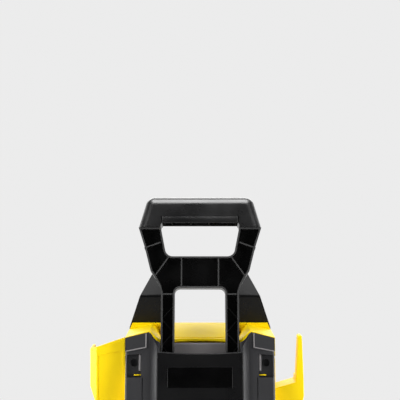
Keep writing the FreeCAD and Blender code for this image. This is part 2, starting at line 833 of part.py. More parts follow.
def make_carry_handle():
    """The fixed black carrying arch: a front moulding and its back, closed round the opening."""
    wall = sheet.wall
    lid_y = sheet.arch_back_y - sheet.arch_lid
    outside = new_body("arch_outside")
    pad(outside, "XZ", [arch_outline(0)], sheet.rear_joint_y, lid_y)
    arch_slope(outside, 0)
    round_off(outside, 6, along="X", z=sheet.arch_brow_z)
    round_off(outside, 6, along="X", z=sheet.arch_step_z)
    round_off(outside, 4, along="X", y=sheet.arch_step_y, z=sheet.arch_top_z)
    pocket(outside, "XZ", [arch_opening(0)], sheet.rear_joint_y - 1, lid_y + 1)
    inside = new_body("arch_inside")
    pad(inside, "XZ", [arch_outline(wall)], sheet.rear_joint_y + wall, lid_y + 1)
    arch_slope(inside, wall)
    column = new_body("arch_column")
    pad(column, "XZ", [arch_opening(wall)], sheet.rear_joint_y - 1, lid_y + 2)
    posts = [
        bar(f"arch_post_{number}", "Y", (x, sheet.rear_joint_y, z), 2.5 * sheet.screw_radius, lid_y)
        for number, (x, z) in enumerate(arch_screws())
    ]
    room = cut("arch_room", inside, join("arch_solid", [column] + posts))
    holes = [
        bar(f"arch_hole_{number}", "Y", (x, lid_y - 14, z), sheet.screw_radius, 20)
        for number, (x, z) in enumerate(arch_screws())
    ]
    keep(cut("carry_handle", outside, join("arch_cuts", [room] + holes)))

    back = new_body("carry_handle_back")
    pad(back, "XZ", [arch_outline(0), arch_opening(0)], lid_y, sheet.arch_back_y)
    round_off(back, 3, y=sheet.arch_back_y)
    holes = [circle(x, z, sheet.screw_radius + 0.2) for x, z in arch_screws()]
    pocket(back, "XZ", holes, lid_y - 1, sheet.arch_back_y + 1)
    keep(back)


def make_rear_shell():
    """The black back: rounded corners, cooling slots and the fixed lower cable hook."""
    body = new_body("rear_shell")
    half, wall = sheet.body_half, sheet.wall
    joint = sheet.rear_joint_y
    back = joint + sheet.rear_depth
    top = sheet.split_z - sheet.gap
    pad(body, "XY", [box_line(-half, joint, half, back)], shell_low, top)
    round_off(body, sheet.rear_corner, along="Z", y=back)
    hollow(body, wall, "Y", joint)
    slot_half, slot_low, slot_height = 46, 292, 4
    slot = box_line(-slot_half, slot_low, slot_half, slot_low + slot_height)
    first = pocket(body, "XZ", [slot], back - wall - 1, back + 1)
    row_of(body, first, 11, 10)
    pivot = circle(0, sheet.hook_pivot_z, sheet.spindle_radius + sheet.running_fit)
    water = circle(sheet.inlet_x, sheet.inlet_z, sheet.inlet_radius + 2 * sheet.gap)
    gland = circle(-45, sheet.inlet_z, 8)
    screws = [circle(x, z, sheet.screw_radius + 0.2) for x, z in shell_screws()]
    pocket(body, "XZ", [pivot, water, gland] + screws, back - wall - 1, back + 1)
    hook_z, hook_out = 240, 30
    pad(body, "XZ", [box_line(-22, hook_z, 22, hook_z + 10)], back, back + hook_out)
    pad(body, "XZ", [box_line(-34, hook_z - 14, 34, hook_z + 10)], back + hook_out, back + hook_out + 5)
    round_off(body, 5, along="Y", y=back + hook_out + 2.5)
    keep(body)


# --- front cover -------------------------------------------------------------------------------


def make_front_cover():
    """The grey leaning cover: two flanks, a raised middle, and a cap with a niche on each flank."""
    body = leaning_body("cover_moulding")
    half, ridge, brow, wall = sheet.cover_half, sheet.ridge_x, sheet.brow_x, sheet.wall
    back, flank, face = sheet.cover_back, sheet.flank_front, sheet.cover_front
    section = both_sides([(brow, face), (ridge, flank), (half, flank), (half, back)])
    pad(body, "XY", [section], sheet.cover_low, sheet.cover_peak + 2)
    round_off(body, 3, along="Z", x=-half, y=flank)
    round_off(body, 3, along="Z", x=half, y=flank)
    above = sheet.cover_peak + 6
    slope = (sheet.cover_peak - sheet.cover_corner) / (half - sheet.shoulder_x)
    outer_top = sheet.cover_corner - 8 * slope
    dip_x = sheet.valley_half - 1
    skyline = [
        (-half - 8, above),
        (-half - 8, outer_top),
        (-sheet.shoulder_x, sheet.cover_peak),
        (-dip_x, sheet.cover_dip, -2.4),
        (dip_x, sheet.cover_dip),
        (sheet.shoulder_x, sheet.cover_peak),
        (half + 8, outer_top),
        (half + 8, above),
    ]
    pocket(body, "XZ", [skyline], face - 6, 2)
    cap_in = sheet.niche_in - 5
    cap_low_out, cap_low_in = sheet.niche_high + 3, sheet.niche_high + 8.1
    cap_top = sheet.cover_corner + (half - cap_in) * slope
    cap = [
        (cap_in, cap_low_in),
        (half, cap_low_out),
        (half, sheet.cover_corner),
        (cap_in, cap_top),
    ]
    pad(body, "XZ", [cap, mirrored(cap)[::-1]], sheet.cap_front, flank + 1)
    room_low = sheet.cover_low - 1
    room_top = sheet.niche_low - 2 * wall
    room_in = sheet.niche_in - wall
    room = both_sides(
        [
            (half - wall, room_low),
            (half - wall, room_top),
            (room_in, room_top),
            (room_in, sheet.cover_peak - 7.5),
            (sheet.shoulder_x + 1, sheet.cover_peak - 6),
            (dip_x + 2, sheet.cover_dip - 5),
        ]
    )
    pocket(body, "XZ", [room], flank + wall, back)
    middle = box_line(-dip_x - 0.5, room_low, dip_x + 0.5, sheet.cover_dip - 5)
    pocket(body, "XZ", [middle], face + wall, flank + wall)
    slot_back = -sheet.leg_half_depth - 3
    notch = box_line(-dip_x - 2, sheet.cover_dip - 12, dip_x + 2, above)
    pocket(body, "XZ", [notch], slot_back, 2)
    niche = [
        (sheet.niche_in, sheet.niche_low),
        (sheet.niche_out, sheet.niche_low),
        (sheet.niche_out, sheet.niche_high - 1.5),
        (sheet.niche_in, sheet.niche_high),
    ]
    niche_floor = flank + 8
    pocket(body, "XZ", [niche, mirrored(niche)[::-1]], flank - 1, niche_floor)
    hole_x, hole_z = (sheet.niche_in + sheet.niche_out) / 2, sheet.niche_high - 10.4
    holes = [circle(hole_x, hole_z, 4.8), circle(-hole_x, hole_z, 4.8)]
    pocket(body, "XZ", holes, niche_floor, niche_floor + 5)
    line_x = sheet.niche_in - 1.8
    line = box_line(line_x - 0.6, sheet.cover_low, line_x + 0.6, sheet.niche_low)
    pocket(body, "XZ", [line, mirrored(line)[::-1]], flank - 1, flank + 1.2)
    knob_hole = circle(0, sheet.knob_z, 3 * sheet.spindle_radius)
    pocket(body, "XZ", [knob_hole], face - 1, face + wall + 1)
    mouth = bar("cover_mouth", "Y", (0, front_y, sheet.outlet_z), sheet.collar_radius + sheet.gap, 60)
    trim_low, trim_high = (-half - 5, front_y, 0), (half + 5, 0, sheet.base_top + sheet.gap)
    trim = block("cover_trim", trim_low, trim_high)
    keep(cut("front_cover", body, join("cover_cuts", [mouth, trim])))


def make_centre_panel():
    """The dark panel over the middle of the cover, recessed for a blank nameplate."""
    face, thick = sheet.cover_front, sheet.panel_thick
    body = leaning_body("centre_panel")
    half = sheet.panel_half
    panel = [
        (-half, sheet.panel_low),
        (half, sheet.panel_low),
        (half, sheet.panel_high, 2.4),
        (-half, sheet.panel_high),
    ]
    pad(body, "XZ", [panel], face - thick, face)
    round_off(body, 5, along="Y", x=(-half, half), z=sheet.panel_low)
    round_off(body, 0.8, y=face - thick)
    recess = box_line(-sheet.badge_half, sheet.badge_low, sheet.badge_half, sheet.badge_high)
    pocket(body, "XZ", [recess], face - thick, face - thick / 2)
    pocket(body, "XZ", [circle(0, sheet.knob_z, 2 * sheet.spindle_radius)], face - thick, face)
    keep(body)
    plate = leaning_body("badge_plate")
    edge = sheet.gap
    outline = box_line(
        -sheet.badge_half + edge, sheet.badge_low + edge, sheet.badge_half - edge, sheet.badge_high - edge
    )
    pad(plate, "XZ", [outline], face - thick - 0.2, face - thick / 2)
    keep(plate)


def make_throat_plate():
    """The grey floor and back wall where the handle legs go down into the shell."""
    body = new_body("throat_plate")
    low, thick = sheet.split_z - 6, sheet.wall
    leg_y = lean_line(0, sheet.split_z)
    front, shoulder_y, back = leg_y - 28.4, leg_y - 16.4, valley_front_y - 0.3
    wide, narrow = 64, sheet.valley_half - 0.6
    floor = both_sides([(narrow, front), (narrow, shoulder_y), (wide, shoulder_y), (wide, back)])
    pad(body, "XY", [floor], low, low + thick)
    wall_front = back - 2
    pad(body, "XY", [box_line(-narrow, wall_front, narrow, back)], low + thick, sheet.valley_front_z - 1)
    space = 3 * sheet.slide_gap
    leg = box_line(
        sheet.leg_in - space,
        lean_line(-sheet.leg_half_depth - space, low),
        sheet.leg_out + space,
        lean_line(sheet.leg_half_depth + space, low + thick),
    )
    pocket(body, "XY", [leg, mirrored(leg)[::-1]], low, low + thick)
    keep(body)


# --- holster and hose hook ---------------------------------------------------------------------


def make_gun_holster():
    """The yellow cup for the spray gun on the left side, open above and below."""
    wall = sheet.wall

    def solid(name, inset):
        body = new_body(name)
        side = sheet.body_half + inset
        out = sheet.holster_out - inset
        face = sheet.holster_face - inset * 0.6
        front, back = sheet.holster_front_y + inset, sheet.holster_back_y - inset
        over = 1 if inset else 0
        bevel = sheet.holster_out - sheet.holster_face
        plan = [
            (-side, front),
            (-side, back),
            (-out + bevel, back),
            (-out, back - bevel),
            (-out, front + bevel - inset * 0.4),
            (-face, front),
        ]
        pad(body, "XY", [plan], sheet.holster_low - over, sheet.hook_tip_z + over)
        far = sheet.holster_out + 10
        taper = [
            (-far, sheet.holster_low - 2),
            (-sheet.holster_foot + inset, sheet.holster_low - 2),
            (-out, sheet.holster_taper_z),
            (-far, sheet.holster_taper_z),
        ]
        pocket(body, "XZ", [taper], front - 1, back + 1)
        return body

    outside = solid("holster_outside", 0)
    rise = (sheet.holster_lip_in - sheet.holster_lip_out) / (sheet.holster_face - sheet.body_half)
    far = 12
    top = sheet.hook_tip_z + 2
    lip = [
        (-sheet.holster_face - far, sheet.holster_lip_out - far * rise),
        (-sheet.body_half, sheet.holster_lip_in),
        (-sheet.body_half, top),
        (-sheet.holster_face - far, top),
    ]
    pocket(outside, "XZ", [lip], sheet.holster_front_y - 1, sheet.holster_back_y + 1)
    back_drop = 26
    fall = [
        (sheet.holster_front_y, sheet.holster_lip_in),
        (sheet.holster_back_y + 1, sheet.holster_lip_in - back_drop),
        (sheet.holster_back_y + 1, top),
        (sheet.holster_front_y, top),
    ]
    pocket(outside, "YZ", [fall], -sheet.holster_out - 1, -sheet.body_half + 1)
    taper_at = sheet.holster_taper_z - 15
    inlay = [
        (-sheet.holster_foot + 1, sheet.holster_low + 16),
        (-sheet.holster_face + 2, taper_at),
        (-sheet.holster_face + 2, sheet.holster_lip_out - 10.5),
        (-sheet.body_half - 3, sheet.holster_lip_in - 17),
        (-sheet.body_half - 3, sheet.holster_low + 16),
    ]
    pocket(outside, "XZ", [inlay], sheet.holster_front_y - 1, sheet.holster_front_y + 1)
    keep(cut("gun_holster", outside, solid("holster_inside", wall)))


def make_hose_hook():
    """The yellow hook for the coiled hose on the right side, hollow from behind."""
    body = new_body("hose_hook")
    side = sheet.body_half
    tip = sheet.hook_tip_z
    front = sheet.holster_front_y
    back = front + sheet.hook_depth
    elbow_low, elbow_high = tip - 109.4, tip - 75.4
    outline = [
        (side, tip - 133.4),
        (side + 28, elbow_low),
        (side + 36, elbow_high),
        (side + 35.7, tip - 55.4),
        (side + 33.4, tip),
        (side + 28.6, tip),
        (side + 25.8, tip - 58.0),
        (side, tip - 65.4),
    ]
    pad(body, "XZ", [outline], front, back)
    round_off(body, 1.5, along="Y", z=tip)
    round_off(body, 2, along="Y", x=side + 25.8)
    round_off(body, 12, along="Y", x=(side + 28, side + 36), z=(elbow_low, elbow_high))
    round_off(body, 1.2, y=front)
    room = [
        (side + 3, tip - 124.4),
        (side + 24, tip - 107.4),
        (side + 32, tip - 74.4),
        (side + 31, tip - 61.4),
        (side + 20, tip - 63.4),
        (side + 3, tip - 68.4),
    ]
    pocket(body, "XZ", [room], front + sheet.wall, back)
    pocket(body, "XZ", [box_line(side + 10, tip - 52, side + 40, tip + 1)], front + sheet.prong_depth, back)
    keep(body)


# --- handle ------------------------------------------------------------------------------------


def make_handle_frame():
    """The telescopic handle's lower moulding: two legs, a cross piece and two arms, open in
    front and stiffened by ribs."""
    body = leaning_body("handle_frame")
    depth, wall, rib = sheet.leg_half_depth, sheet.handle_wall, sheet.rib_wall
    leg_in, leg_out, low, high = sheet.leg_in, sheet.leg_out, sheet.leg_low, sheet.handle_split
    arch_low, bend, hand_low = high - 77.8, high - 83.4, high - 37.4
    arm_out, arm_in = sheet.shoulder_half, sheet.shoulder_half - 28.4
    right = [
        (leg_in, low),
        (leg_out, low),
        (leg_out, bend),
        (leg_out + 2.7, bend + 9),
        (leg_out + 8.1, bend + 19),
        (leg_out + 13.8, bend + 28),
        (arm_out - 8.1, high - 25.7),
        (arm_out, high),
        (arm_in, high),
        (arm_in - 7.4, hand_low),
    ]
    left = [(-as_size(corner[0]), *corner[1:]) for corner in reversed(right)]
    pad(body, "XZ", [right + left + [(-leg_in, arch_low), (leg_in, arch_low)]], -depth, depth)
    round_off(body, 10, along="Y", z=hand_low)
    round_off(body, 7, along="Y", z=arch_low)
    round_off(body, 12, along="Y", z=bend)
    hollow(body, wall, "Y", -depth)
    floor, crest = depth - wall, -depth + 1.2
    centre = (leg_in + leg_out) / 2
    reach = (leg_out - leg_in) / 2 - wall / 2
    zig = []
    start = low + wall + 4
    half_pitch = sheet.rib_pitch / 2
    for up in (0, 1):
        x_first, x_last = (-reach, reach) if up == 0 else (reach, -reach)
        z_first = start + half_pitch * up
        zig.append(
            [
                (centre + x_first, z_first),
                (centre + x_last, z_first + half_pitch),
                (centre + x_last, z_first + half_pitch + rib),
                (centre + x_first, z_first + rib),
            ]
        )
    ribs = pad(body, "XZ", zig + [mirrored(line)[::-1] for line in zig], crest, floor + 0.5)
    row_of(body, ribs, sheet.rib_pitch, 12)
    half_rib = rib / 2
    web_x = leg_in - 8.5
    webs = [
        [
            (arm_in, high - 19.9),
            (arm_out - 7.9, high - 27.2),
            (arm_out - 7.5, high - 25.7),
            (arm_in + 0.5, high - 18.4),
        ],
        [
            (arm_in - 10.7, hand_low - 1.4),
            (leg_out + 8, bend + 19.8),
            (leg_out + 9.3, bend + 20.8),
            (arm_in - 9.4, hand_low - 0.4),
        ],
        box_line(web_x - half_rib, arch_low + 1, web_x + half_rib, hand_low - 1),
        box_line(leg_in + 1, bend - 2 - half_rib, leg_out - 1, bend - 2 + half_rib),
    ]
    pad(body, "XZ", webs + [mirrored(line)[::-1] for line in webs], crest, floor + 0.5)
    keep(body)


def make_grip_shell():
    """The closed grip: a rounded bar between two short arms, ribbed underneath."""
    body = leaning_body("grip_shell")
    depth, low, top = sheet.grip_half_depth, sheet.handle_split, sheet.handle_top
    half, half_top = sheet.shoulder_half, sheet.grip_half_top
    arm_in = half - 28.4
    under = low + 6
    right = [(arm_in + 1, under), (arm_in, low), (half, low), (half_top, top)]
    left = [(-as_size(corner[0]), *corner[1:]) for corner in reversed(right)]
    pad(body, "XZ", [right + left], -depth, depth)
    round_off(body, 12, along="Y", x=(-half_top, half_top), z=top)
    round_off(body, 11.5, z=(top - 1, top), y=-depth)
    round_off(body, 11.5, z=(top - 1, top), y=depth)
    round_off(body, 5, along="Y", z=under)
    slant = [(-depth - 1, under - 1), (depth, under - 1), (depth, under), (-depth - 1, under + 7.5)]
    pocket(body, "YZ", [slant], -arm_in + 0.5, arm_in - 0.5)
    room_half, room_depth, rib = arm_in - 5, depth - 4, 1.2
    edges = [-room_half, -36, -12, 12, 36, room_half]
    cells = []
    for number, (left_x, right_x) in enumerate(zip(edges, edges[1:])):
        start = left_x if number == 0 else left_x + rib
        end = right_x if number == len(edges) - 2 else right_x - rib
        cells.append(box_line(start, -room_depth, end, room_depth))
    pocket(body, "XY", cells, under - 1, top - 9)
    keep(body)


def make_leg_end_caps():
    """A plug that closes the bottom of each leg."""
    caps = []
    half, low = sheet.leg_half_depth, sheet.leg_low
    for side in (-1, 1):
        body = leaning_body(f"leg_cap_{side + 2}")
        x_low, x_high = (sheet.leg_in, sheet.leg_out) if side > 0 else (-sheet.leg_out, -sheet.leg_in)
        pad(body, "XY", [box_line(x_low, -half, x_high, half)], low - 4, low)
        round_off(body, 1.5, z=low - 4)
        caps.append(body)
    keep(group("leg_end_caps", caps))


def make_leg_guides():
    """Two sleeves that the legs slide in, joined by a plate between the side panels."""
    body = leaning_body("leg_guides")
    clear, wall = sheet.slide_gap, sheet.wall
    low, high = sheet.guide_low, sheet.guide_high
    half = sheet.leg_half_depth + clear
    x_in, x_out = sheet.leg_in - clear, sheet.leg_out + clear
    plate = sheet.shell_front - sheet.gap
    plate_low = low + 20
    sleeve = box_line(x_in - wall, -half - wall, x_out + wall, half + wall)
    pad(body, "XY", [box_line(-plate, half, plate, half + wall)], plate_low, high - 20)
    pad(body, "XY", [sleeve, mirrored(sleeve)[::-1]], low, high)
    bore = box_line(x_in, -half, x_out, half)
    pocket(body, "XY", [bore, mirrored(bore)[::-1]], low, high)
    keep(body)


# --- controls and water ------------------------------------------------------------------------


def make_power_knob():
    """The rotary power knob: a skirted dial with a grip bar, on a spindle through the cover."""
    face = sheet.cover_front - sheet.panel_thick
    at = lean_point(0, 0, sheet.knob_z)
    radius, depth = sheet.knob_radius, sheet.knob_depth
    body = new_body("power_knob", at, lean=True)
    front = face - 1 - depth
    base = face - 1
    outline = [
        (base, 0),
        (base, radius),
        (base - 4, radius),
        (front + 10, radius - 4),
        (front + 10, 0),
    ]
    spin(body, "YZ", outline, "H_Axis")
    pad(body, "XZ", [box_line(-6, -radius + 4, 6, radius - 4)], front, front + 10)
    round_off(body, 2, y=front)
    tail = sheet.cover_front + sheet.wall + 6
    pad(body, "XZ", [circle(0, 0, sheet.spindle_radius)], base, tail)
    keep(body)

    bezel = new_body("knob_bezel", at, lean=True)
    ring_in = radius + 1
    ring_line = [
        (face, ring_in),
        (face, ring_in + 8),
        (face - 2, ring_in + 7),
        (face - 5, ring_in + 1.5),
        (face - 5, ring_in),
    ]
    spin(bezel, "YZ", ring_line, "H_Axis")
    keep(bezel)

    switch = new_body("switch_module", at, lean=True)
    low = sheet.cover_front + sheet.wall
    bore = circle(0, 0, sheet.spindle_radius + sheet.running_fit)
    pad(switch, "XZ", [box_line(-18, -20, 18, 20), bore], low, low + 8)
    pad(switch, "XZ", [box_line(-15, -17, 15, 17)], low + 8, low + 22)
    keep(switch)


def make_pressure_outlet():
    """The brass M22 outlet, its plastic collar and the steel tube from the pump."""
    at = (0, 0, sheet.outlet_z)
    tip = front_y + 18.5
    radius, bore = sheet.outlet_radius, sheet.outlet_bore
    thread_end = tip + sheet.outlet_thread
    bore_end = tip + 20
    back = sheet.drive_y - head_half_depth - 38
    brass = new_body("pressure_outlet", at)
    outline = [
        (tip, bore),
        (tip, radius - 1),
        (tip + 1, radius),
        (thread_end, radius),
        (thread_end, radius + 4),
        (thread_end + 8, radius + 4),
        (thread_end + 8, radius - 2),
        (back, radius - 2),
        (back, 3),
        (bore_end, 3),
        (bore_end, bore),
    ]
    spin(brass, "YZ", outline, "H_Axis")
    keep(brass)
    collar = new_body("outlet_collar", at)
    outer = sheet.collar_radius
    front = tip + 3
    rear = tip + 32
    collar_line = [
        (front, outer - 4),
        (front, outer),
        (rear, outer),
        (rear, radius - 1.6),
        (rear - 3, radius - 1.6),
        (rear - 3, outer - 7),
    ]
    spin(collar, "YZ", collar_line, "H_Axis")
    round_off(collar, 1, y=front)
    keep(collar)
    pump_front = sheet.drive_y - head_half_depth
    tube = ring("outlet_tube", "Y", (0, back, sheet.outlet_z), 3, 5, pump_front - back)
    keep(tube)


def make_water_inlet():
    """The G 3/4 water inlet through the back, with its strainer."""
    at = (sheet.inlet_x, 0, sheet.inlet_z)
    start = sheet.drive_y + head_half_depth
    wall_out = sheet.rear_joint_y + sheet.rear_depth
    end = wall_out + sheet.inlet_thread + 6
    radius, bore = sheet.inlet_radius, sheet.inlet_bore
    body = new_body("water_inlet", at)
    outline = [
        (start, 5),
        (start, 8),
        (wall_out - 8, 8),
        (wall_out - 8, radius + 5),
        (wall_out - sheet.wall - sheet.gap, radius + 5),
        (wall_out - sheet.wall - sheet.gap, radius - 1),
        (end - sheet.inlet_thread, radius - 1),
        (end - sheet.inlet_thread, radius),
        (end - 1, radius),
        (end, radius - 1),
        (end, bore),
        (wall_out, bore),
        (wall_out, 5),
    ]
    spin(body, "YZ", outline, "H_Axis")
    keep(body)
    strainer = new_body("inlet_strainer", at)
    cone = [
        (wall_out, 4.5),
        (wall_out, bore - 0.2),
        (wall_out + 1.5, bore - 0.2),
        (wall_out + 1.5, 6),
        (wall_out + 14, 2.5),
        (wall_out + 14, 0),
        (wall_out + 13, 0),
        (wall_out + 13, 1.5),
    ]
    spin(strainer, "YZ", cone, "H_Axis")
    keep(strainer)


def make_cable_parts():
    """The gland for the supply cable, and the upper cable hook that turns to free the cable."""
    wall_out = sheet.rear_joint_y + sheet.rear_depth
    gland = new_body("cable_gland", (-45, 0, sheet.inlet_z))
    outline = [
        (wall_out - 12, 4.5),
        (wall_out - 12, 11),
        (wall_out - sheet.wall - sheet.gap, 11),
        (wall_out - sheet.wall - sheet.gap, 7.6),
        (wall_out, 7.6),
        (wall_out, 10),
        (wall_out + 5, 10),
        (wall_out + 24, 6),
        (wall_out + 24, 4.5),
    ]
    spin(gland, "YZ", outline, "H_Axis")
    keep(gland)
    hook = new_body("cable_hook", (0, 0, sheet.hook_pivot_z))
    out = 30
    pad(hook, "XZ", [box_line(-22, -5, 22, 5)], wall_out + 0.5, wall_out + out)
    pad(hook, "XZ", [box_line(-34, -5, 34, 19)], wall_out + out, wall_out + out + 5)
    round_off(hook, 5, along="Y", y=wall_out + out + 2.5)
    pad(hook, "XZ", [circle(0, 0, sheet.spindle_radius)], wall_out - 9, wall_out + 1)
    pad(hook, "XZ", [circle(0, 0, 7)], wall_out - 9, wall_out - sheet.wall - 0.5)
    keep(hook)


# --- motor -------------------------------------------------------------------------------------

pitch_sum = sheet.pinion_teeth + sheet.wheel_teeth
centre_distance = sheet.gear_module * pitch_sum / 2
motor_x = centre_distance / 2
pump_x = -centre_distance / 2
head_half_width = 41
head_half_depth = 44
block_z = block_low + sheet.head_height
gearbox_z = block_z + sheet.block_height
motor_z = gearbox_z + sheet.gearbox_height
motor_top = motor_z + sheet.motor_height
gear_z = gearbox_z + 63
gear_height = 14


def upright(name, x):
    return new_body(name, (x, sheet.drive_y, 0))


def tube_line(inner, outer, low, high):
    """Section of a sleeve."""
    return box_line(inner, low, outer, high)


def make_motor():
    """A universal motor: case, stator, windings, and a rotor with commutator and fan."""
    radius, shaft, fit = sheet.motor_radius, sheet.shaft_radius, sheet.running_fit
    case = upright("motor_case", motor_x)
    case_line = [
        (radius - 2, motor_z),
        (radius, motor_z),
        (radius, motor_top),
        (radius - 2, motor_top),
    ]
    spin(case, "XZ", case_line, "V_Axis")
    vent = pocket(case, "XY", [box_line(radius - 4, -4, radius + 2, 4)], motor_top - 22, motor_top - 8)
    ring_of(case, vent, 10, "Z")
    keep(case)

    shield = upright("motor_end_shield", motor_x)
    bearing_out = 3 * shaft
    shield_line = [
        (shaft + 2, motor_top),
        (radius, motor_top),
        (radius, motor_top + 4),
        (bearing_out + 3, motor_top + 4),
        (bearing_out + 3, motor_top + 13),
        (shaft + 2, motor_top + 13),
        (shaft + 2, motor_top + 11),
        (bearing_out, motor_top + 11),
        (bearing_out, motor_top + 4),
        (shaft + 2, motor_top + 4),
    ]
    spin(shield, "XZ", shield_line, "V_Axis")
    keep(shield)

    rod = upright("motor_shaft", motor_x)
    shaft_top = motor_top + 16
    spin(rod, "XZ", box_line(0, gear_z - 4, shaft, shaft_top), "V_Axis")
    keep(rod)

    core_low, core_high = motor_z + 26, motor_z + 78
    air = 0.8
    core_radius = 21
    core = upright("rotor_core", motor_x)
    spin(core, "XZ", tube_line(shaft, core_radius, core_low, core_high), "V_Axis")
    slot = box_line(core_radius - 4, -1.2, core_radius + 1, 1.2)
    ring_of(core, pocket(core, "XY", [slot], core_low, core_high), 12, "Z")
    keep(core)

    commutator = upright("commutator", motor_x)
    spin(commutator, "XZ", tube_line(shaft, 11, core_high + 6, core_high + 19), "V_Axis")
    bars = pocket(commutator, "XY", [box_line(10, -0.4, 12, 0.4)], core_high + 7, core_high + 18)
    ring_of(commutator, bars, 24, "Z")
    keep(commutator)

    fan = upright("cooling_fan", motor_x)
    spin(fan, "XZ", tube_line(shaft, radius - 6, motor_z + 4, motor_z + 6), "V_Axis")
    outline = [(10, -1), (radius - 7, 5), (radius - 7, 7), (10, 1)]
    blade = pad(fan, "XY", [outline], motor_z + 5, motor_z + 14)
    ring_of(fan, blade, 9, "Z")
    pad(fan, "XY", [circle(0, 0, 9), circle(0, 0, shaft)], motor_z + 4, motor_z + 14)
    keep(fan)

    stator = upright("stator_core", motor_x)
    bore = core_radius + air
    outline = [circle(0, 0, radius - 2), circle(0, 0, bore)]
    pad(stator, "XY", outline, core_low, core_high)
    slot_line = [(-16, bore + 3), (16, bore + 3), (12, radius - 7), (-12, radius - 7)]
    pocket(stator, "XY", [slot_line], core_low, core_high)
    pocket(stator, "XY", [[(x, -as_size(y)) for x, y in reversed(slot_line)]], core_low, core_high)
    keep(stator)

    coils = []
    for number, low in enumerate((core_low - 7, core_high)):
        coil = upright(f"coil_{number}", motor_x)
        spin(coil, "XZ", tube_line(bore + 2, radius - 6, low, low + 7), "V_Axis")
        round_off(coil, 2, z=(low, low + 7))
        coils.append(coil)
    keep(group("field_windings", coils))

    brushes = []
    for side in (-1, 1):
        low_x = motor_x + 11.2 if side > 0 else motor_x - 29
        low = (low_x, sheet.drive_y - 3, core_high + 8)
        high = (low_x + 17.8, sheet.drive_y + 3, core_high + 16)
        brushes.append(block(f"brush_{side + 2}", low, high))
    keep(group("carbon_brushes", brushes))

    races = []
    for number, low in enumerate((motor_z - 11, motor_top + 4)):
        races.append(
            ring(
                f"race_{number}",
                "Z",
                (motor_x, sheet.drive_y, low),
                shaft + fit,
                bearing_out,
                7,
            )
        )
    keep(group("motor_bearings", races))


# --- gears and pump ----------------------------------------------------------------------------

PRESSURE_ANGLE = math.radians(25)
BACKLASH = 0.16


def involute(angle):
    return math.tan(angle) - angle


def gear_face(teeth, module, phase):
    """The flat outline of a spur gear, with flanks on the involute of its base circle."""
    pitch = module * teeth / 2
    base = pitch * math.cos(PRESSURE_ANGLE)
    tip = pitch + module
    root = pitch - 1.25 * module
    half_tooth = math.pi / (2 * teeth) - BACKLASH / (2 * pitch)
    start = max(root, base)
    radii = [start + (tip - start) * step / 4 for step in range(5)]
    flank = []
    for radius in radii:
        angle = half_tooth + involute(PRESSURE_ANGLE) - involute(math.acos(min(1, base / radius)))
        flank.append((radius, angle))
    if root < base:
        flank.insert(0, (root, flank[0][1]))
    points = []
    for tooth in range(int(teeth)):
        middle = phase + 2 * math.pi * tooth / teeth
        rising = [(radius, middle - angle) for radius, angle in flank]
        falling = [(radius, middle + angle) for radius, angle in reversed(flank)]
        for radius, angle in rising + falling:
            points.append(Vector(radius * math.cos(angle), radius * math.sin(angle), 0))
    return Part.Face(Part.makePolygon(points + points[:1]))


def toothed_blank(name, teeth, phase, x, height):
    """A gear of that height standing on the pump's or the motor's axis."""
    gear = doc.addObject("Part::Feature", name)
    face = gear_face(teeth.value, sheet.gear_module.value, phase)
    gear.Shape = face.extrude(Vector(0, 0, height))
    place(gear, (x, sheet.drive_y, gear_z))
    return gear


def make_gears():
    """The pinion on the motor shaft and the drive gear that carries the wobble plate."""
    shaft = sheet.shaft_radius
    blank = toothed_blank("pinion_blank", sheet.pinion_teeth, 0, motor_x, gear_height)
    hole = bar("pinion_hole", "Z", (motor_x, sheet.drive_y, gear_z - 1), shaft, gear_height + 2)
    keep(cut("pinion", blank, hole))
    half_pitch = math.pi / sheet.wheel_teeth.value
    wheel = toothed_blank("wheel_blank", sheet.wheel_teeth, half_pitch, pump_x, gear_height)
    hub_low = gear_z - 5
    hub = bar("wheel_hub", "Z", (pump_x, sheet.drive_y, hub_low), 12, 5)
    stub_top = motor_z - 4 - sheet.gap
    stub = bar("wheel_stub", "Z", (pump_x, sheet.drive_y, gear_z), 5, stub_top - gear_z)
    keep(join("drive_gear", [wheel, hub, stub]))

    plate = upright("wobble_plate", pump_x)
    radius = sheet.swash_radius
    rise = radius * tangent(sheet.swash_tilt)
    middle = gearbox_z + 46
    pad(plate, "XY", [circle(0, 0, radius)], middle - rise - 1, hub_low)
    wedge = [
        (-radius - 1, middle - rise - 2),
        (radius + 1, middle - rise - 2),
        (radius + 1, middle + rise * (radius + 1) / radius),
        (-radius - 1, middle - rise * (radius + 1) / radius),
    ]
    pocket(plate, "XZ", [wedge], -radius - 1, radius + 1)
    keep(plate)


def make_gear_housing():
    """The cast box round gears and wobble plate, with the seats of both upper bearings."""
    body = new_body("gear_housing")
    left = pump_x - head_half_width
    right = motor_x + sheet.motor_radius + 4
    front, back = sheet.drive_y - head_half_depth, sheet.drive_y + head_half_depth
    wall = 4
    pad(body, "XY", [box_line(left, front, right, back)], gearbox_z, motor_z)
    round_off(body, 16, along="Z")
    inner = box_line(left + wall, front + wall, right - wall, back - wall)
    pocket(body, "XY", [inner], gearbox_z, motor_z - 12)
    seat = 3 * sheet.shaft_radius
    pocket(body, "XY", [circle(motor_x, sheet.drive_y, seat)], motor_z - 12, motor_z - 4)
    pocket(body, "XY", [circle(motor_x, sheet.drive_y, seat - 4)], motor_z - 5, motor_z)
    pocket(body, "XY", [circle(pump_x, sheet.drive_y, 5 + sheet.running_fit)], motor_z - 12, motor_z - 4)
    keep(body)


def piston_places():
    """Centres of the three pistons round the pump axis."""
    places = []
    for number in range(3):
        angle = math.radians(120 * number)
        x = pump_x + sheet.piston_circle * math.cos(angle)
        places.append((x, sheet.drive_y + sheet.piston_circle * math.sin(angle)))
    return places


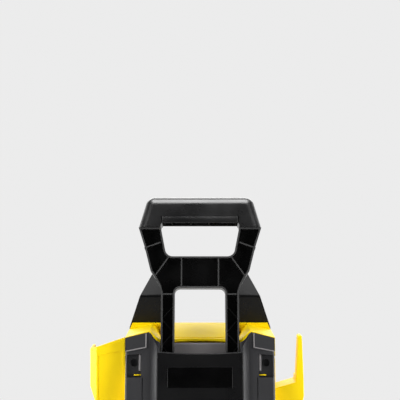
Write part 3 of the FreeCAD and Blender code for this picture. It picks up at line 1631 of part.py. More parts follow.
def make_pump():
    """The pump: a valve head, a block with three bores, sprung pistons and their seals."""
    left, right = pump_x - head_half_width, pump_x + head_half_width
    front, back = sheet.drive_y - head_half_depth, sheet.drive_y + head_half_depth
    outline = box_line(left, front, right, back)
    head = new_body("pump_head")
    pad(head, "XY", [outline], block_low, block_z)
    round_off(head, 10, along="Z")
    chambers = [circle(x, y, sheet.piston_radius) for x, y in piston_places()]
    pocket(head, "XY", chambers, block_z - 14, block_z)
    pocket(head, "YZ", [circle(sheet.drive_y, sheet.outlet_z, 6)], right - 24, right)
    keep(head)

    bores = [circle(x, y, sheet.piston_radius + sheet.running_fit) for x, y in piston_places()]
    seats = [circle(x, y, sheet.piston_radius + 3.5) for x, y in piston_places()]
    cylinder = new_body("piston_block")
    pad(cylinder, "XY", [outline], block_z, gearbox_z)
    round_off(cylinder, 10, along="Z")
    pocket(cylinder, "XY", bores, block_z, gearbox_z)
    pocket(cylinder, "XY", seats, block_z, block_z + 6)
    keep(cylinder)

    valve = ring("unloader_sleeve", "X", (right - 24, sheet.drive_y, sheet.outlet_z), 2.5, 6, 18)
    stem = bar("unloader_stem", "X", (right - 24, sheet.drive_y, sheet.outlet_z), 2.5, 30)
    keep(join("unloader_valve", [valve, stem]))

    lowest = gearbox_z + 46 - sheet.swash_radius * tangent(sheet.swash_tilt) - 1
    shafts, seals, springs = [], [], []
    for number, (x, y) in enumerate(piston_places()):
        stem = bar(f"stem_{number}", "Z", (x, y, block_z + 1), sheet.piston_radius, lowest - 8 - block_z - 1)
        crown = bar(f"crown_{number}", "Z", (x, y, lowest - 8), sheet.piston_radius + 6, 7)
        shafts.append(join(f"piston_{number}", [stem, crown]))
        inner, outer = sheet.piston_radius + 0.02, sheet.piston_radius + 3.45
        seals.append(ring(f"seal_{number}", "Z", (x, y, block_z + 0.5), inner, outer, 5))
        springs.append(make_spring(number, x, y, gearbox_z, lowest - 8))
    keep(group("pistons", shafts))
    keep(group("piston_seals", seals))
    keep(group("piston_springs", springs))


def make_spring(number, x, y, low, high):
    """A wire spring between the block and a piston's crown."""
    wire, coil, turns = 0.9, sheet.piston_radius.value + 3, 5
    length = (high - low).value - 2 * wire - 0.4
    helix = Part.makeHelix(length / turns, length, coil)
    section = Part.Wire(Part.makeCircle(wire, Vector(coil, 0, 0), Vector(0, 1, 0)))
    spring = doc.addObject("Part::Feature", f"spring_{number}")
    spring.Shape = Part.Wire(helix.Edges).makePipeShell([section], True, True)
    place(spring, (x, y, low + wire + 0.2))
    return spring


def make_cradle():
    """A tray that carries the pump on four rubber mounts above the base's floor."""
    floor = sheet.base_low + sheet.wall
    low = block_low - 12
    body = new_body("pump_cradle")
    left, right = pump_x - head_half_width - 6, pump_x + head_half_width + 30
    front, back = sheet.drive_y - head_half_depth - 4, sheet.rear_joint_y - 1
    pad(body, "XY", [box_line(left, front, right, back)], low, block_low)
    round_off(body, 8, along="Z")
    pocket(body, "XY", [box_line(left + 8, front + 8, right - 8, back - 8)], low, block_low - 4)
    keep(body)
    mounts = []
    for x in (left + 9, right - 9):
        for y in (front + 9, axle_y - sheet.axle_radius - 14):
            mounts.append(bar(f"mount_{len(mounts)}", "Z", (x, y, floor), 8, low - floor))
    keep(group("rubber_mounts", mounts))


# --- screws ------------------------------------------------------------------------------------


def make_rear_screws():
    """Long screws through the back into the side panels, and two into the arch's bosses."""
    shell_back = sheet.rear_joint_y + sheet.rear_depth
    screws = []
    for x, z in shell_screws():
        at = (x, shell_back + 2, z)
        length = sheet.rear_depth + sheet.wall + 1
        name = f"rear_screw_{len(screws)}"
        screws.append(screw(name, "Y", at, 3.5, 2, sheet.screw_radius, length, sign=-1))
    for x, z in arch_screws():
        at = (x, sheet.arch_back_y + 2, z)
        screws.append(screw(f"rear_screw_{len(screws)}", "Y", at, 3.5, 2, sheet.screw_radius, 16, sign=-1))
    keep(group("rear_screws", screws))


# --- the whole machine -------------------------------------------------------------------------

make_base_tray()
make_front_feet()
make_wheel(-1, "left_wheel")
make_wheel(1, "right_wheel")
make_axle()
make_side_panel(-1, "left_side_panel")
make_side_panel(1, "right_side_panel")
make_top_hood()
make_carry_handle()
make_rear_shell()
make_front_cover()
make_centre_panel()
make_throat_plate()
make_gun_holster()
make_hose_hook()
make_handle_frame()
make_grip_shell()
make_leg_end_caps()
make_leg_guides()
make_power_knob()
make_pressure_outlet()
make_water_inlet()
make_cable_parts()
make_motor()
make_gears()
make_gear_housing()
make_pump()
make_cradle()
make_rear_screws()


def check_document():
    """Stops if any object failed or any sub-part is empty or broken."""
    for thing in doc.Objects:
        if "Invalid" in thing.State or "Error" in thing.State:
            raise RuntimeError(f"{thing.Label} ({thing.Name}) failed: {thing.State}")
    for thing in parts:
        if thing.Shape.isNull() or not thing.Shape.isValid() or not thing.Shape.Solids:
            raise RuntimeError(f"{thing.Label} has no sound shape")


def export_parts():
    os.makedirs("parts", exist_ok=True)
    for thing in parts:
        thing.Shape.exportStep(f"parts/{thing.Label}.step")
    print(f"{len(parts)} sub-parts")


doc.recompute()
check_document()
export_parts()
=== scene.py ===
# %% [markdown]
# # Dressing a pressure washer
#
# The machine is an upright washer on two wheels. Its body is a stack of moulded shells: a yellow
# hood and sides, a dark grey leaning front, a black base, a black carrying arch and a black
# telescopic handle. The frame gives every part at its real size and place, so this script never
# moves a part. It rounds edges, adds fine pieces and gives every part its material.

# %% Load the frame
import json
import math

import bmesh
import bpy
from mathutils import Matrix, Vector


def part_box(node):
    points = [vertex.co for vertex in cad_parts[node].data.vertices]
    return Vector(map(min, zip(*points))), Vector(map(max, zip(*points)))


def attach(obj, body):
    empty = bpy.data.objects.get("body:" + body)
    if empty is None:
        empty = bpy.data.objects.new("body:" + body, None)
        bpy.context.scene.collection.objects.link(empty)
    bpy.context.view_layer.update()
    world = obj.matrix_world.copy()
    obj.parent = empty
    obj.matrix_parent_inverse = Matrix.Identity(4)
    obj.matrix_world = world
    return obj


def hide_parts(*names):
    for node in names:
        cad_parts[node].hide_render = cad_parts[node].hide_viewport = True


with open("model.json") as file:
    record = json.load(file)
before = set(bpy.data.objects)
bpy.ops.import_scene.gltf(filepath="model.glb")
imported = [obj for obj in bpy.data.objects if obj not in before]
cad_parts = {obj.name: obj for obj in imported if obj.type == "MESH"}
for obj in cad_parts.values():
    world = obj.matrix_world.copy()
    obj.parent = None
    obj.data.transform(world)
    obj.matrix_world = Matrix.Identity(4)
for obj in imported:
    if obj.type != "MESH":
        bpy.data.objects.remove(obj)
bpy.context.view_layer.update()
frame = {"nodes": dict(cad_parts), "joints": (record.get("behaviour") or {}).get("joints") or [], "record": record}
nodes = frame["nodes"]
record = frame["record"]
joints = {joint["name"]: joint for joint in frame["joints"]}
body_of = {node: body for body, members in record["behaviour"]["bodies"].items() for node in members}
slot_of = {part["node"]: part["material_slot"] for part in record["subparts"]}
scene = bpy.context.scene
millimetre = 0.001

# %% [markdown]
# The front of the machine leans back. Anything that sits on it is easiest to place in the
# leaning frame: across, out of the cover, and up along it. The handle's slide joint gives the
# direction of the lean, and the knob's joint gives a point on it.

# %% Directions of the leaning front
up_front = Vector(joints["handle_slide"]["axis"]).normalized()
across = Vector((1, 0, 0))
into_front = up_front.cross(across)
knob_centre = Vector(joints["power_knob_turn"]["pos_m"])
lean_turn = Matrix((across, into_front, up_front)).transposed().to_4x4()
print("the front leans", round(math.degrees(math.acos(up_front.z)), 1), "degrees")


def on_front(x, depth, height):
    """The matrix that sets a shape on the front, from the knob's centre, in metres."""
    place = knob_centre + across * x + into_front * depth + up_front * height
    return Matrix.Translation(place) @ lean_turn


# %% [markdown]
# ## The camera
#
# The machine is seen straight from the front with a long lens, from the height of its handle,
# so the picture shows its upper third. A long lens keeps the sides nearly parallel.

# %% Camera
camera_data = bpy.data.cameras.new("camera")
camera_data.lens = 83
camera_data.sensor_width = 36
camera = bpy.data.objects.new("camera", camera_data)
camera.location = (0.0, -1.16, 0.675)
camera.rotation_euler = (math.radians(90), 0, 0)
scene.collection.objects.link(camera)
scene.camera = camera
print("camera", tuple(round(value, 3) for value in camera.location))

# %% [markdown]
# ## The studio
#
# Black plastic shows only what it reflects. The camera's side of the room is kept dark, so the
# black faces stay black, while large soft boxes above and beside the machine draw thin bright
# lines along its edges and light the yellow evenly. The backdrop that the camera sees is a plain
# light grey.

# %% World
backdrop_grey = 0.838


def ramp_between(tree, value, low, high, from_low=0.3, from_high=0.7):
    node = tree.nodes.new("ShaderNodeMapRange")
    node.inputs["From Min"].default_value = from_low
    node.inputs["From Max"].default_value = from_high
    node.inputs["To Min"].default_value = low
    node.inputs["To Max"].default_value = high
    tree.links.new(value, node.inputs["Value"])
    return node.outputs[0]


def make_world(dim=0.02, behind_glow=1.0, above_glow=0.25):
    world = bpy.data.worlds.new("studio")
    scene.world = world
    world.use_nodes = True
    tree = world.node_tree
    tree.nodes.clear()
    output = tree.nodes.new("ShaderNodeOutputWorld")
    choose = tree.nodes.new("ShaderNodeMixShader")
    path = tree.nodes.new("ShaderNodeLightPath")
    room = tree.nodes.new("ShaderNodeBackground")
    backdrop = tree.nodes.new("ShaderNodeBackground")
    backdrop.inputs["Color"].default_value = (backdrop_grey, backdrop_grey, backdrop_grey, 1)
    place = tree.nodes.new("ShaderNodeTexCoord")
    split = tree.nodes.new("ShaderNodeSeparateXYZ")
    add = tree.nodes.new("ShaderNodeMath")
    tree.links.new(place.outputs["Generated"], split.inputs[0])
    behind = ramp_between(tree, split.outputs["Y"], dim, behind_glow, -0.1, 0.9)
    above = ramp_between(tree, split.outputs["Z"], 0, above_glow, 0.3, 1.0)
    tree.links.new(behind, add.inputs[0])
    tree.links.new(above, add.inputs[1])
    tree.links.new(add.outputs[0], room.inputs["Strength"])
    tree.links.new(path.outputs["Is Camera Ray"], choose.inputs[0])
    tree.links.new(room.outputs[0], choose.inputs[1])
    tree.links.new(backdrop.outputs[0], choose.inputs[2])
    tree.links.new(choose.outputs[0], output.inputs["Surface"])


make_world()
scene.view_settings.view_transform = "Standard"
print("the backdrop is", backdrop_grey)


# %% Soft boxes
def soft_box(name, place, width, height, power, aim=(0, 0, 0.45)):
    light_data = bpy.data.lights.new(name, "AREA")
    light_data.shape = "RECTANGLE"
    light_data.size = width
    light_data.size_y = height
    light_data.energy = power
    light = bpy.data.objects.new(name, light_data)
    light.location = place
    light.rotation_euler = (Vector(aim) - Vector(place)).to_track_quat("-Z", "Y").to_euler()
    light.visible_camera = False
    scene.collection.objects.link(light)
    print(name, power, "W")
    return light


soft_box("top_box", (0, -0.1, 1.9), 2.2, 1.3, 20)
grip_strip = soft_box("grip_strip", (0, -0.35, 1.9), 1.4, 1.2, 90)
soft_box("back_box", (0, 1.9, 1.75), 2.4, 1.4, 34)
soft_box("left_box", (-1.7, -1.4, 0.8), 1.0, 1.6, 34)
soft_box("right_box", (1.7, -1.4, 0.8), 1.0, 1.6, 34)
soft_box("left_rim", (-1.8, 0.45, 0.5), 0.9, 1.3, 26)
soft_box("right_rim", (1.8, 0.45, 0.5), 0.9, 1.3, 26)
soft_box("low_fill", (0, -2.6, 0.15), 2.4, 0.8, 4)

# %% Floor
floor_radius = 1.6
disc = bmesh.new()
bmesh.ops.create_circle(disc, cap_ends=True, segments=96, radius=floor_radius)
floor_mesh = bpy.data.meshes.new("floor")
disc.to_mesh(floor_mesh)
disc.free()
floor = bpy.data.objects.new("floor", floor_mesh)
scene.collection.objects.link(floor)
print("floor", 2 * floor_radius, "m across")


# %% [markdown]
# ## Materials
#
# Every shell is injection moulded. Such plastic isn't smooth: the mould is spark eroded or
# etched, which leaves a grain a few tenths of a millimetre across, and the gloss varies slowly
# over each face where the plastic filled the mould or hands rubbed it. One recipe makes them all:
# a colour that drifts a little, a roughness that drifts a little, and a bump made of two noises.

# %% The moulded-plastic recipe
def start_material(name):
    material = bpy.data.materials.new(name)
    material.use_nodes = True
    tree = material.node_tree
    tree.nodes.clear()
    output = tree.nodes.new("ShaderNodeOutputMaterial")
    shader = tree.nodes.new("ShaderNodeBsdfPrincipled")
    place = tree.nodes.new("ShaderNodeTexCoord")
    tree.links.new(shader.outputs[0], output.inputs["Surface"])
    return material, tree, shader, place.outputs["Object"]


def noise(tree, vector, scale, detail=2.0, roughness=0.5):
    node = tree.nodes.new("ShaderNodeTexNoise")
    node.inputs["Scale"].default_value = scale
    node.inputs["Detail"].default_value = detail
    node.inputs["Roughness"].default_value = roughness
    tree.links.new(vector, node.inputs["Vector"])
    return node.outputs["Fac"]


def mix_colours(tree, factor, first, second):
    node = tree.nodes.new("ShaderNodeMix")
    node.data_type = "RGBA"
    node.inputs["A"].default_value = (*first, 1)
    node.inputs["B"].default_value = (*second, 1)
    tree.links.new(factor, node.inputs["Factor"])
    return node.outputs["Result"]


def bump(tree, height, depth, strength, under=None):
    node = tree.nodes.new("ShaderNodeBump")
    node.inputs["Distance"].default_value = depth
    node.inputs["Strength"].default_value = strength
    tree.links.new(height, node.inputs["Height"])
    if under is not None:
        tree.links.new(under, node.inputs["Normal"])
    return node.outputs["Normal"]


def moulded_plastic(name, colour, roughness, grain, drift=0.05, gloss=0.5):
    material, tree, shader, place = start_material(name)
    slow = noise(tree, place, 9, 3)
    darker = tuple(channel * (1 - drift) for channel in colour)
    lighter = tuple(min(1, channel * (1 + drift)) for channel in colour)
    tree.links.new(mix_colours(tree, slow, darker, lighter), shader.inputs["Base Color"])
    rubbed = noise(tree, place, 32, 4)
    roughness_now = ramp_between(tree, rubbed, roughness - 0.05, roughness + 0.06)
    tree.links.new(roughness_now, shader.inputs["Roughness"])
    etched = bump(tree, noise(tree, place, 2600, 1.5), 0.06 * millimetre, grain)
    flow = bump(tree, noise(tree, place, 26, 2), 0.25 * millimetre, 0.10, etched)
    tree.links.new(flow, shader.inputs["Normal"])
    shader.inputs["Specular IOR Level"].default_value = gloss
    return material


def rubber(name, colour, roughness):
    material, tree, shader, place = start_material(name)
    dusty = noise(tree, place, 45, 5, 0.65)
    paler = tuple(channel * 2.2 + 0.008 for channel in colour)
    tree.links.new(mix_colours(tree, dusty, colour, paler), shader.inputs["Base Color"])
    tree.links.new(ramp_between(tree, dusty, roughness - 0.1, roughness + 0.1), shader.inputs["Roughness"])
    tree.links.new(bump(tree, noise(tree, place, 900, 3), 0.1 * millimetre, 0.5), shader.inputs["Normal"])
    return material


def bare_metal(name, colour, roughness, brushing=(1, 1, 1), scale=420, wear=0.12):
    material, tree, shader, place = start_material(name)
    turn = tree.nodes.new("ShaderNodeMapping")
    turn.inputs["Scale"].default_value = brushing
    tree.links.new(place, turn.inputs["Vector"])
    fine = noise(tree, turn.outputs[0], scale, 4, 0.6)
    tarnished = tuple(channel * (1 - wear) for channel in colour)
    tree.links.new(mix_colours(tree, fine, tarnished, colour), shader.inputs["Base Color"])
    tree.links.new(ramp_between(tree, fine, roughness - 0.07, roughness + 0.1), shader.inputs["Roughness"])
    tree.links.new(bump(tree, fine, 0.03 * millimetre, 0.3), shader.inputs["Normal"])
    shader.inputs["Metallic"].default_value = 1
    return material


# %% The finishes of this machine
finishes = {
    "yellow_plastic": moulded_plastic("yellow_plastic", (0.98, 0.70, 0.0012), 0.34, 0.25, 0.02, 0.18),
    "black_plastic": moulded_plastic("black_plastic", (0.0025, 0.0025, 0.0027), 0.30, 0.45, 0.15, 0.3),
    "handle_plastic": moulded_plastic("handle_plastic", (0.0022, 0.0022, 0.0023), 0.28, 0.35, 0.15, 0.35),
    "grey_plastic": moulded_plastic("grey_plastic", (0.030, 0.030, 0.032), 0.36, 0.5, 0.08, 0.35),
    "throat_plastic": moulded_plastic("throat_plastic", (0.19, 0.18, 0.182), 0.36, 0.5, 0.08, 0.4),
    "panel_plastic": moulded_plastic("panel_plastic", (0.0045, 0.0045, 0.0048), 0.30, 0.3, 0.1, 0.25),
    "badge_finish": moulded_plastic("badge_finish", (0.0012, 0.0012, 0.0013), 0.20, 0.08, 0.1, 0.3),
    "mark_finish": moulded_plastic("mark_finish", (0.45, 0.45, 0.44), 0.4, 0.1, 0.03),
    "knob_plastic": moulded_plastic("knob_plastic", (0.008, 0.008, 0.009), 0.34, 0.4, 0.1, 0.35),
    "inner_plastic": moulded_plastic("inner_plastic", (0.05, 0.05, 0.055), 0.5, 0.5, 0.1),
    "tyre": rubber("tyre", (0.006, 0.006, 0.006), 0.72),
    "rubber": rubber("rubber", (0.008, 0.008, 0.008), 0.65),
    "steel": bare_metal("steel", (0.56, 0.57, 0.58), 0.30, (1, 1, 6)),
    "brass": bare_metal("brass", (0.72, 0.49, 0.20), 0.26, (1, 6, 1)),
    "aluminium": bare_metal("aluminium", (0.60, 0.61, 0.62), 0.42, (1, 1, 1), 900),
    "copper": bare_metal("copper", (0.62, 0.24, 0.10), 0.34, (1, 1, 14), 300),
    "laminations": bare_metal("laminations", (0.22, 0.22, 0.23), 0.45, (0.05, 0.05, 6), 500),
    "carbon": rubber("carbon", (0.012, 0.012, 0.013), 0.55),
}
print(len(finishes), "finishes")

# %% [markdown]
# ## Painted highlights on the handle's rims
#
# The handle is an open channel with thin walls and ribs. Their front edges catch the light while
# the channel behind them lies in shade. Here that highlight is only painted: everything within a
# thin layer at the front of the handle gets a lighter colour, except for the cross ribs inside
# the two legs.

# %% Painted rim highlights, by depth
rim_front, rim_back = -0.0095, -0.0078
# the colour of the painted highlight on the handle's rims
rim_highlight_colour = (0.05, 0.05, 0.05, 1)
leg_top, leg_middle, leg_inside = 0.322, 0.0406, 0.0122


def math_node(tree, operation, *values):
    """A maths node. Each value is a number or the output of another node."""
    node = tree.nodes.new("ShaderNodeMath")
    node.operation = operation
    for socket, value in zip(node.inputs, values):
        if isinstance(value, bpy.types.NodeSocket):
            tree.links.new(value, socket)
        else:
            socket.default_value = value
    return node.outputs[0]


def distance_along(tree, place, direction):
    """How far a point lies along a direction, from the knob's centre."""
    node = tree.nodes.new("ShaderNodeVectorMath")
    node.operation = "DOT_PRODUCT"
    node.inputs[1].default_value = direction
    tree.links.new(place, node.inputs[0])
    return math_node(tree, "SUBTRACT", node.outputs["Value"], knob_centre.dot(direction))


# Paints a highlight into the base colour along the handle's front rims.
def paint_rim_highlights(material):
    tree = material.node_tree
    shader = next(node for node in tree.nodes if node.type == "BSDF_PRINCIPLED")
    place = tree.nodes.new("ShaderNodeTexCoord").outputs["Object"]
    split = tree.nodes.new("ShaderNodeSeparateXYZ")
    tree.links.new(place, split.inputs[0])
    middle, reach = (rim_front + rim_back) / 2, (rim_back - rim_front) / 2
    in_layer = math_node(tree, "COMPARE", distance_along(tree, place, into_front), middle, reach)
    on_leg = math_node(tree, "LESS_THAN", distance_along(tree, place, up_front), leg_top)
    sideways = math_node(tree, "ABSOLUTE", split.outputs["X"])
    between_walls = math_node(tree, "COMPARE", sideways, leg_middle, leg_inside / 2)
    cross_rib = math_node(tree, "MULTIPLY", on_leg, between_walls)
    # rim is the mask of the painted highlight: the front layer, without the ribs in the legs
    rim = math_node(tree, "MULTIPLY", in_layer, math_node(tree, "SUBTRACT", 1.0, cross_rib))
    mix = tree.nodes.new("ShaderNodeMix")
    mix.data_type = "RGBA"
    base = shader.inputs["Base Color"]
    tree.links.new(base.links[0].from_socket, mix.inputs["A"])
    mix.inputs["B"].default_value = rim_highlight_colour
    tree.links.new(rim, mix.inputs["Factor"])
    tree.links.new(mix.outputs["Result"], base)


paint_rim_highlights(finishes["handle_plastic"])
print("rims from", rim_front, "to", rim_back, "m")

# %% Every part gets its finish
floor_finish = moulded_plastic("floor_paint", (0.42, 0.42, 0.42), 0.6, 0.05, 0.01)
floor.data.materials.append(floor_finish)
for name, part in nodes.items():
    part.data.materials.clear()
    part.data.materials.append(finishes[slot_of[name]])
print("finishes on", len(nodes), "nodes")

# %% [markdown]
# ## Rounded edges
#
# No moulded edge is perfectly sharp. A shell from the frame is a set of loose triangles, so its
# copy is welded first. A bevel then rounds each edge that turns by more than a set angle, and its
# strip catches the light as a thin bright line.

# %% The rounding helper
def link(piece, body, slot):
    scene.collection.objects.link(piece)
    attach(piece, body)
    piece.data.materials.append(finishes[slot])


def welded_copy(node):
    shape = bmesh.new()
    shape.from_mesh(nodes[node].data)
    bmesh.ops.remove_doubles(shape, verts=shape.verts, dist=0.004 * millimetre)
    return shape


def round_edges(piece, radius, segments=2, angle=28):
    bevel = piece.modifiers.new("rounded_edges", "BEVEL")
    bevel.width = radius * millimetre
    bevel.segments = segments
    bevel.limit_method = "ANGLE"
    bevel.angle_limit = math.radians(angle)
    bevel.harden_normals = True
    bevel.use_clamp_overlap = True
    bevel.miter_outer = "MITER_ARC"
    even = piece.modifiers.new("flat_faces_stay_flat", "WEIGHTED_NORMAL")
    even.keep_sharp = True


def rounded_skin(node, radius):
    shape = welded_copy(node)
    for face in shape.faces:
        face.smooth = True
    mesh = bpy.data.meshes.new(node + "_skin")
    shape.to_mesh(mesh)
    shape.free()
    piece = bpy.data.objects.new(node + "_skin", mesh)
    link(piece, body_of[node], slot_of[node])
    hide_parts(node)
    round_edges(piece, radius)
    return piece


# %% Which shells are rounded, and by how many millimetres
edge_radius = {
    "handle_frame": 0.75, "grip_shell": 0.7, "leg_end_caps": 0.4,
    "carry_handle": 0.9, "carry_handle_back": 0.8,
    "top_hood": 0.9, "left_side_panel": 0.8, "right_side_panel": 0.8, "rear_shell": 0.8,
    "front_cover": 1.2, "centre_panel": 0.4, "badge_plate": 0.5, "throat_plate": 0.6,
    "gun_holster": 0.9, "hose_hook": 0.9, "base_tray": 1.2, "front_feet": 0.8,
    "left_wheel_rim": 0.7, "right_wheel_rim": 0.7, "left_wheel_hub_cap": 0.6,
    "right_wheel_hub_cap": 0.6, "left_wheel_tyre": 0.7, "right_wheel_tyre": 0.7,
    "knob_bezel": 0.5, "power_knob": 0.6, "outlet_collar": 0.7, "pressure_outlet": 0.3,
    "water_inlet": 0.4, "cable_gland": 0.4, "cable_hook": 0.8, "rear_screws": 0.2,
}
skins = {}
for node, radius in edge_radius.items():
    skins[node] = rounded_skin(node, radius)
print(len(skins), "rounded shells")

# %% [markdown]
# The grip shines along its top edge more than the shells do. One strip light is kept for it
# alone: a light can be told which pieces receive it, and this one reaches only the grip.

# %% A light of its own for the grip
grip_only = bpy.data.collections.new("grip_only")
grip_only.objects.link(skins["grip_shell"])
grip_strip.light_linking.receiver_collection = grip_only

# %% [markdown]
# ## Threads
#
# The brass outlet takes the nut of a hose, and the inlet behind takes a garden connector. A
# thread is a small triangle carried round the axis and forward by its pitch, which is one spin
# with a step along the axis. The frame has plain cylinders there, so each ridge is kept low: it
# stands 0.22 mm above its cylinder, which is less than a real thread's depth.

# %% Thread helper
ridge_root, ridge_rise = 0.3 * millimetre, 0.22 * millimetre


def new_piece(name, shape, body, slot, smooth=True):
    bmesh.ops.remove_doubles(shape, verts=shape.verts, dist=0.0005 * millimetre)
    bmesh.ops.recalc_face_normals(shape, faces=shape.faces)
    for face in shape.faces:
        face.smooth = smooth
    mesh = bpy.data.meshes.new(name)
    shape.to_mesh(mesh)
    shape.free()
    piece = bpy.data.objects.new(name, mesh)
    link(piece, body, slot)
    return piece


def thread_ridge(name, centre, start, length, radius, pitch, slot, steps=40):
    """A low triangular ridge that winds round an axis along Y, from start."""
    shape = bmesh.new()
    foot, crest, half = radius - ridge_root, radius + ridge_rise, 0.36 * pitch
    corners = [
        shape.verts.new((centre.x + foot, start - half, centre.z)),
        shape.verts.new((centre.x + crest, start, centre.z)),
        shape.verts.new((centre.x + foot, start + half, centre.z)),
    ]
    first = shape.faces.new(corners)
    turns = math.floor(length / pitch) - 1
    made = bmesh.ops.spin(
        shape, geom=[first, *first.edges, *first.verts], cent=(centre.x, 0, centre.z), axis=(0, 1, 0),
        dvec=(0, pitch / steps, 0), angle=math.tau * turns, steps=steps * turns, use_duplicate=False,
    )
    print(name, turns, "turns,", len(made["geom_last"]), "pieces at its end")
    return new_piece(name, shape, "housing", slot)


# %% Outlet and inlet threads
mounts = {mount["name"]: mount for mount in record["mounts"]}
thread_pitch = {"outlet_thread": 1.5 * millimetre, "water_inlet_thread": 1.814 * millimetre}
thread_slot = {"outlet_thread": "brass", "water_inlet_thread": "black_plastic"}
for name, pitch in thread_pitch.items():
    mount = mounts[name]
    centre = Vector(mount["pos_m"])
    length = mount["dims"]["length_mm"] * millimetre
    radius = mount["dims"]["r_mm"] * millimetre
    thread_ridge(name + "_ridge", centre, centre.y - length / 2 + pitch, length - pitch, radius, pitch,
                 thread_slot[name])

# %% [markdown]
# ## Marks round the power knob
#
# The dial needs a scale that anyone can read: an open ring for off, a bar for full power, and
# dots that grow between them. They are moulded on the panel, so each is a real raised shape. A
# fine line on the knob points at them.

# %% Dial marks
marks_radius = 0.0405
panel_depth = -0.033
mark_rise = 0.0006
mark_count = 7


def round_mark(name, x, height, radius):
    shape = bmesh.new()
    bmesh.ops.create_cone(shape, cap_ends=True, segments=24, radius1=radius, radius2=radius * 0.72,
                          depth=mark_rise)
    bmesh.ops.rotate(shape, verts=shape.verts, matrix=Matrix.Rotation(math.radians(90), 3, "X"))
    bmesh.ops.transform(shape, verts=shape.verts, matrix=on_front(x, panel_depth - mark_rise / 2, height))
    return new_piece(name, shape, "housing", "mark_finish", smooth=False)


def ring_mark(name, x, height, radius, thick):
    shape = bmesh.new()
    wire = bmesh.ops.create_circle(shape, segments=8, radius=thick)["verts"]
    bmesh.ops.translate(shape, verts=wire, vec=(radius, 0, 0))
    edges = shape.edges[:]
    bmesh.ops.spin(shape, geom=wire + edges, cent=(0, 0, 0), axis=(0, 1, 0), angle=math.tau, steps=32,
                   use_merge=True)
    bmesh.ops.transform(shape, verts=shape.verts, matrix=on_front(x, panel_depth, height))
    return new_piece(name, shape, "housing", "mark_finish")


def rounded_bar(name, matrix, size, body, slot):
    shape = bmesh.new()
    bmesh.ops.create_cube(shape, size=1)
    bmesh.ops.scale(shape, verts=shape.verts, vec=size)
    bmesh.ops.bevel(shape, geom=shape.edges[:], offset=min(size) * 0.3, segments=2, profile=0.5,
                    affect="EDGES", material=-1, clamp_overlap=True)
    bmesh.ops.transform(shape, verts=shape.verts, matrix=matrix)
    return new_piece(name, shape, body, slot)


for number in range(mark_count):
    turn = math.radians(90 * (number + 1) / (mark_count + 1))
    x, height = marks_radius * math.sin(turn), marks_radius * math.cos(turn)
    round_mark(f"dial_dot_{number}", x, height, (0.55 + 0.14 * number) * millimetre)
ring_mark("dial_off", 0, marks_radius, 2.0 * millimetre, 0.4 * millimetre)
full_place = on_front(marks_radius + 0.001, panel_depth, 0)
rounded_bar("dial_full", full_place, (0.0045, 0.0009, 0.0011), "housing", "mark_finish")
knob_face = -0.0337 - 0.0223
pointer_place = on_front(0, knob_face, 0.018)
rounded_bar("knob_pointer", pointer_place, (0.0014, 0.0009, 0.011), "power_knob", "mark_finish")
print(mark_count, "dots round the knob")

# %% [markdown]
# ## Yellow catches in the niches
#
# Near the top of each flank the cover has a niche with a fixing hole. A short yellow bar at the
# bottom of it stands for the tongue of the side panel that would reach through.

# %% Catches
niche_centre, niche_rise, niche_depth = 0.0772, 0.2272, -0.0152
for side, name in ((-1, "left_catch"), (1, "right_catch")):
    place = on_front(side * niche_centre, niche_depth, niche_rise)
    rounded_bar(name, place, (0.0086, 0.0040, 0.0016), "housing", "yellow_plastic")
print("two catches")

# %% [markdown]
# ## Shoulders, beads and grip lip
#
# Beside each leg the cover rises in a rounded shoulder, up to the lower edge of the hood. Each
# shoulder is an outline in the plane of the front, carried back to the hood. A fine bead frames
# the raised corner above each niche, and a strip lines the niche's inner side. Both are painted
# highlights: they borrow the throat's lighter plastic where the cover's own darker plastic
# catches the light. A lip closes the front of the grip down to the fingers.

# %% Shoulders
def front_prism(name, outline, near, far, body, slot):
    """An outline of (x, height) points on the front, in millimetres, from one depth to another."""
    shape = bmesh.new()
    rings = []
    for depth in (near, far):
        ring = [shape.verts.new(Vector((x, depth, height)) * millimetre) for x, height in outline]
        rings.append(ring)
        shape.faces.new(ring)
    for number in range(len(outline)):
        after = (number + 1) % len(outline)
        shape.faces.new((rings[0][number], rings[0][after], rings[1][after], rings[1][number]))
    sharp = [edge for edge in shape.edges if edge.verts[0] in rings[0] and edge.verts[1] in rings[0]]
    bmesh.ops.bevel(shape, geom=sharp, offset=0.8 * millimetre, segments=3, profile=0.5,
                    affect="EDGES", material=-1, clamp_overlap=True)
    bmesh.ops.transform(shape, verts=shape.verts, matrix=on_front(0, 0, 0))
    return new_piece(name, shape, body, slot, smooth=False)


shoulder = [(65.7, 276.5), (65.0, 279.0), (62.6, 278.8), (60.8, 277.6), (58.9, 274.9), (57.0, 271.8),
            (55.2, 269.1), (53.8, 267.8), (52.1, 267.2), (50.0, 267.2), (50.0, 252.0), (54.5, 252.0)]
for side, name in ((-1, "left_shoulder"), (1, "right_shoulder")):
    front_prism(name, [(side * x, height) for x, height in shoulder], -19, -5.4, "housing", "grey_plastic")
print("two shoulders")


# %% Beads and niche walls, lighter as painted highlights
def bead(name, start, end, depth, width):
    """A slim bar on the front between two (x, height) points, in millimetres, in the lighter throat plastic as a
    painted highlight.
    """
    start, end = Vector(start) * millimetre, Vector(end) * millimetre
    middle, along = (start + end) / 2, end - start
    turn = Matrix.Rotation(-math.atan2(along.y, along.x), 4, "Y")
    size = (along.length + width * millimetre, width * millimetre, width * millimetre)
    place = on_front(middle.x, depth * millimetre, middle.y) @ turn
    return rounded_bar(name, place, size, "housing", "throat_plastic")


for side, name in ((-1, "left"), (1, "right")):
    corner = (side * 66.6, 260.4)
    # Each bead and niche wall is a painted highlight: lighter plastic where the cover's own plastic catches the
    # light.
    bead(name + "_corner_bead", (side * 91.0, 255.7), corner, -24.4, 1.5)
    bead(name + "_corner_bead_up", corner, (side * 66.6, 277.0), -24.4, 1.5)
    wall = [(side * 72.4, 232.0), (side * 72.4, 252.0), (side * 75.4, 252.0), (side * 75.4, 232.0)]
    front_prism(name + "_niche_wall_highlight", wall, -20.5, -14.2, "housing", "throat_plastic")
print("beads and niche walls")

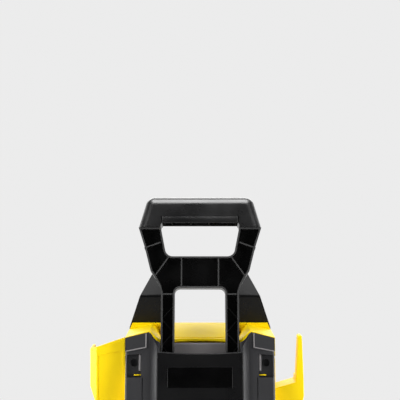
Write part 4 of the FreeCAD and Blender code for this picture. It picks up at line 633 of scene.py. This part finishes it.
# %% Grip lip
lip_place, lip_size = on_front(0, -0.0137, 0.4232), (0.0975, 0.0022, 0.0094)
lip = rounded_bar("grip_lip", lip_place, lip_size, body_of["grip_shell"], slot_of["grip_shell"])
grip_only.objects.link(lip)
print("the lip rides", body_of["grip_shell"])

# %% [markdown]
# ## Painted screw sockets and a blank plate behind
#
# The case screws have six-lobed sockets. The heads come from the frame and aren't cut, so each
# socket is only painted: a thin dark star on top of the head is painted shade for the hollow,
# made from a circle whose corners are pulled in by turns. A rating plate would be riveted below
# the lower hook, and stays blank.

# %% Sockets as painted shade
def socket_shade_star(name, x, y, z, radius):
    shape = bmesh.new()
    made = bmesh.ops.create_circle(shape, cap_ends=True, segments=24, radius=radius)["verts"]
    for number, vertex in enumerate(made):
        lobe = 1 + 0.16 * math.cos(6 * math.tau * number / len(made))
        vertex.co *= lobe
    bmesh.ops.rotate(shape, verts=shape.verts, matrix=Matrix.Rotation(math.radians(90), 3, "X"))
    made = bmesh.ops.extrude_face_region(shape, geom=shape.faces[:])["geom"]
    tops = [item for item in made if isinstance(item, bmesh.types.BMVert)]
    bmesh.ops.translate(shape, verts=tops, vec=(0, 0.05 * millimetre, 0))
    bmesh.ops.translate(shape, verts=shape.verts, vec=(x, y, z))
    # the star is painted shade: dark rubber for the shadow inside the socket
    return new_piece(name, shape, "housing", "rubber", smooth=False)


head_height = 2 * millimetre
body_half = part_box("rear_shell")[1].x
screw_places = [(side * (body_half - 0.016), z) for side in (-1, 1) for z in (0.150, 0.270, 0.450)]
screw_places += [(side * (body_half - 0.030), 0.540) for side in (-1, 1)]
screw_points = [vertex.co for vertex in nodes["rear_screws"].data.vertices]
head_tops = []
for number, (x, z) in enumerate(screw_places):
    near = [point.y for point in screw_points if max(abs(point.x - x), abs(point.z - z)) < 0.004]
    head_tops.append(max(near))
    socket_shade_star(f"screw_socket_shade_{number}", x, max(near), z, 1.5 * millimetre)

# %% Blank rating plate
plate_size = (0.056, 0.0006, 0.030)
plate_place = Matrix.Translation((0, head_tops[0] - head_height + plate_size[1] / 3, 0.196))
rounded_bar("blank_rating_plate", plate_place, plate_size, "housing", "aluminium")
print(len(screw_places), "sockets and a plate")
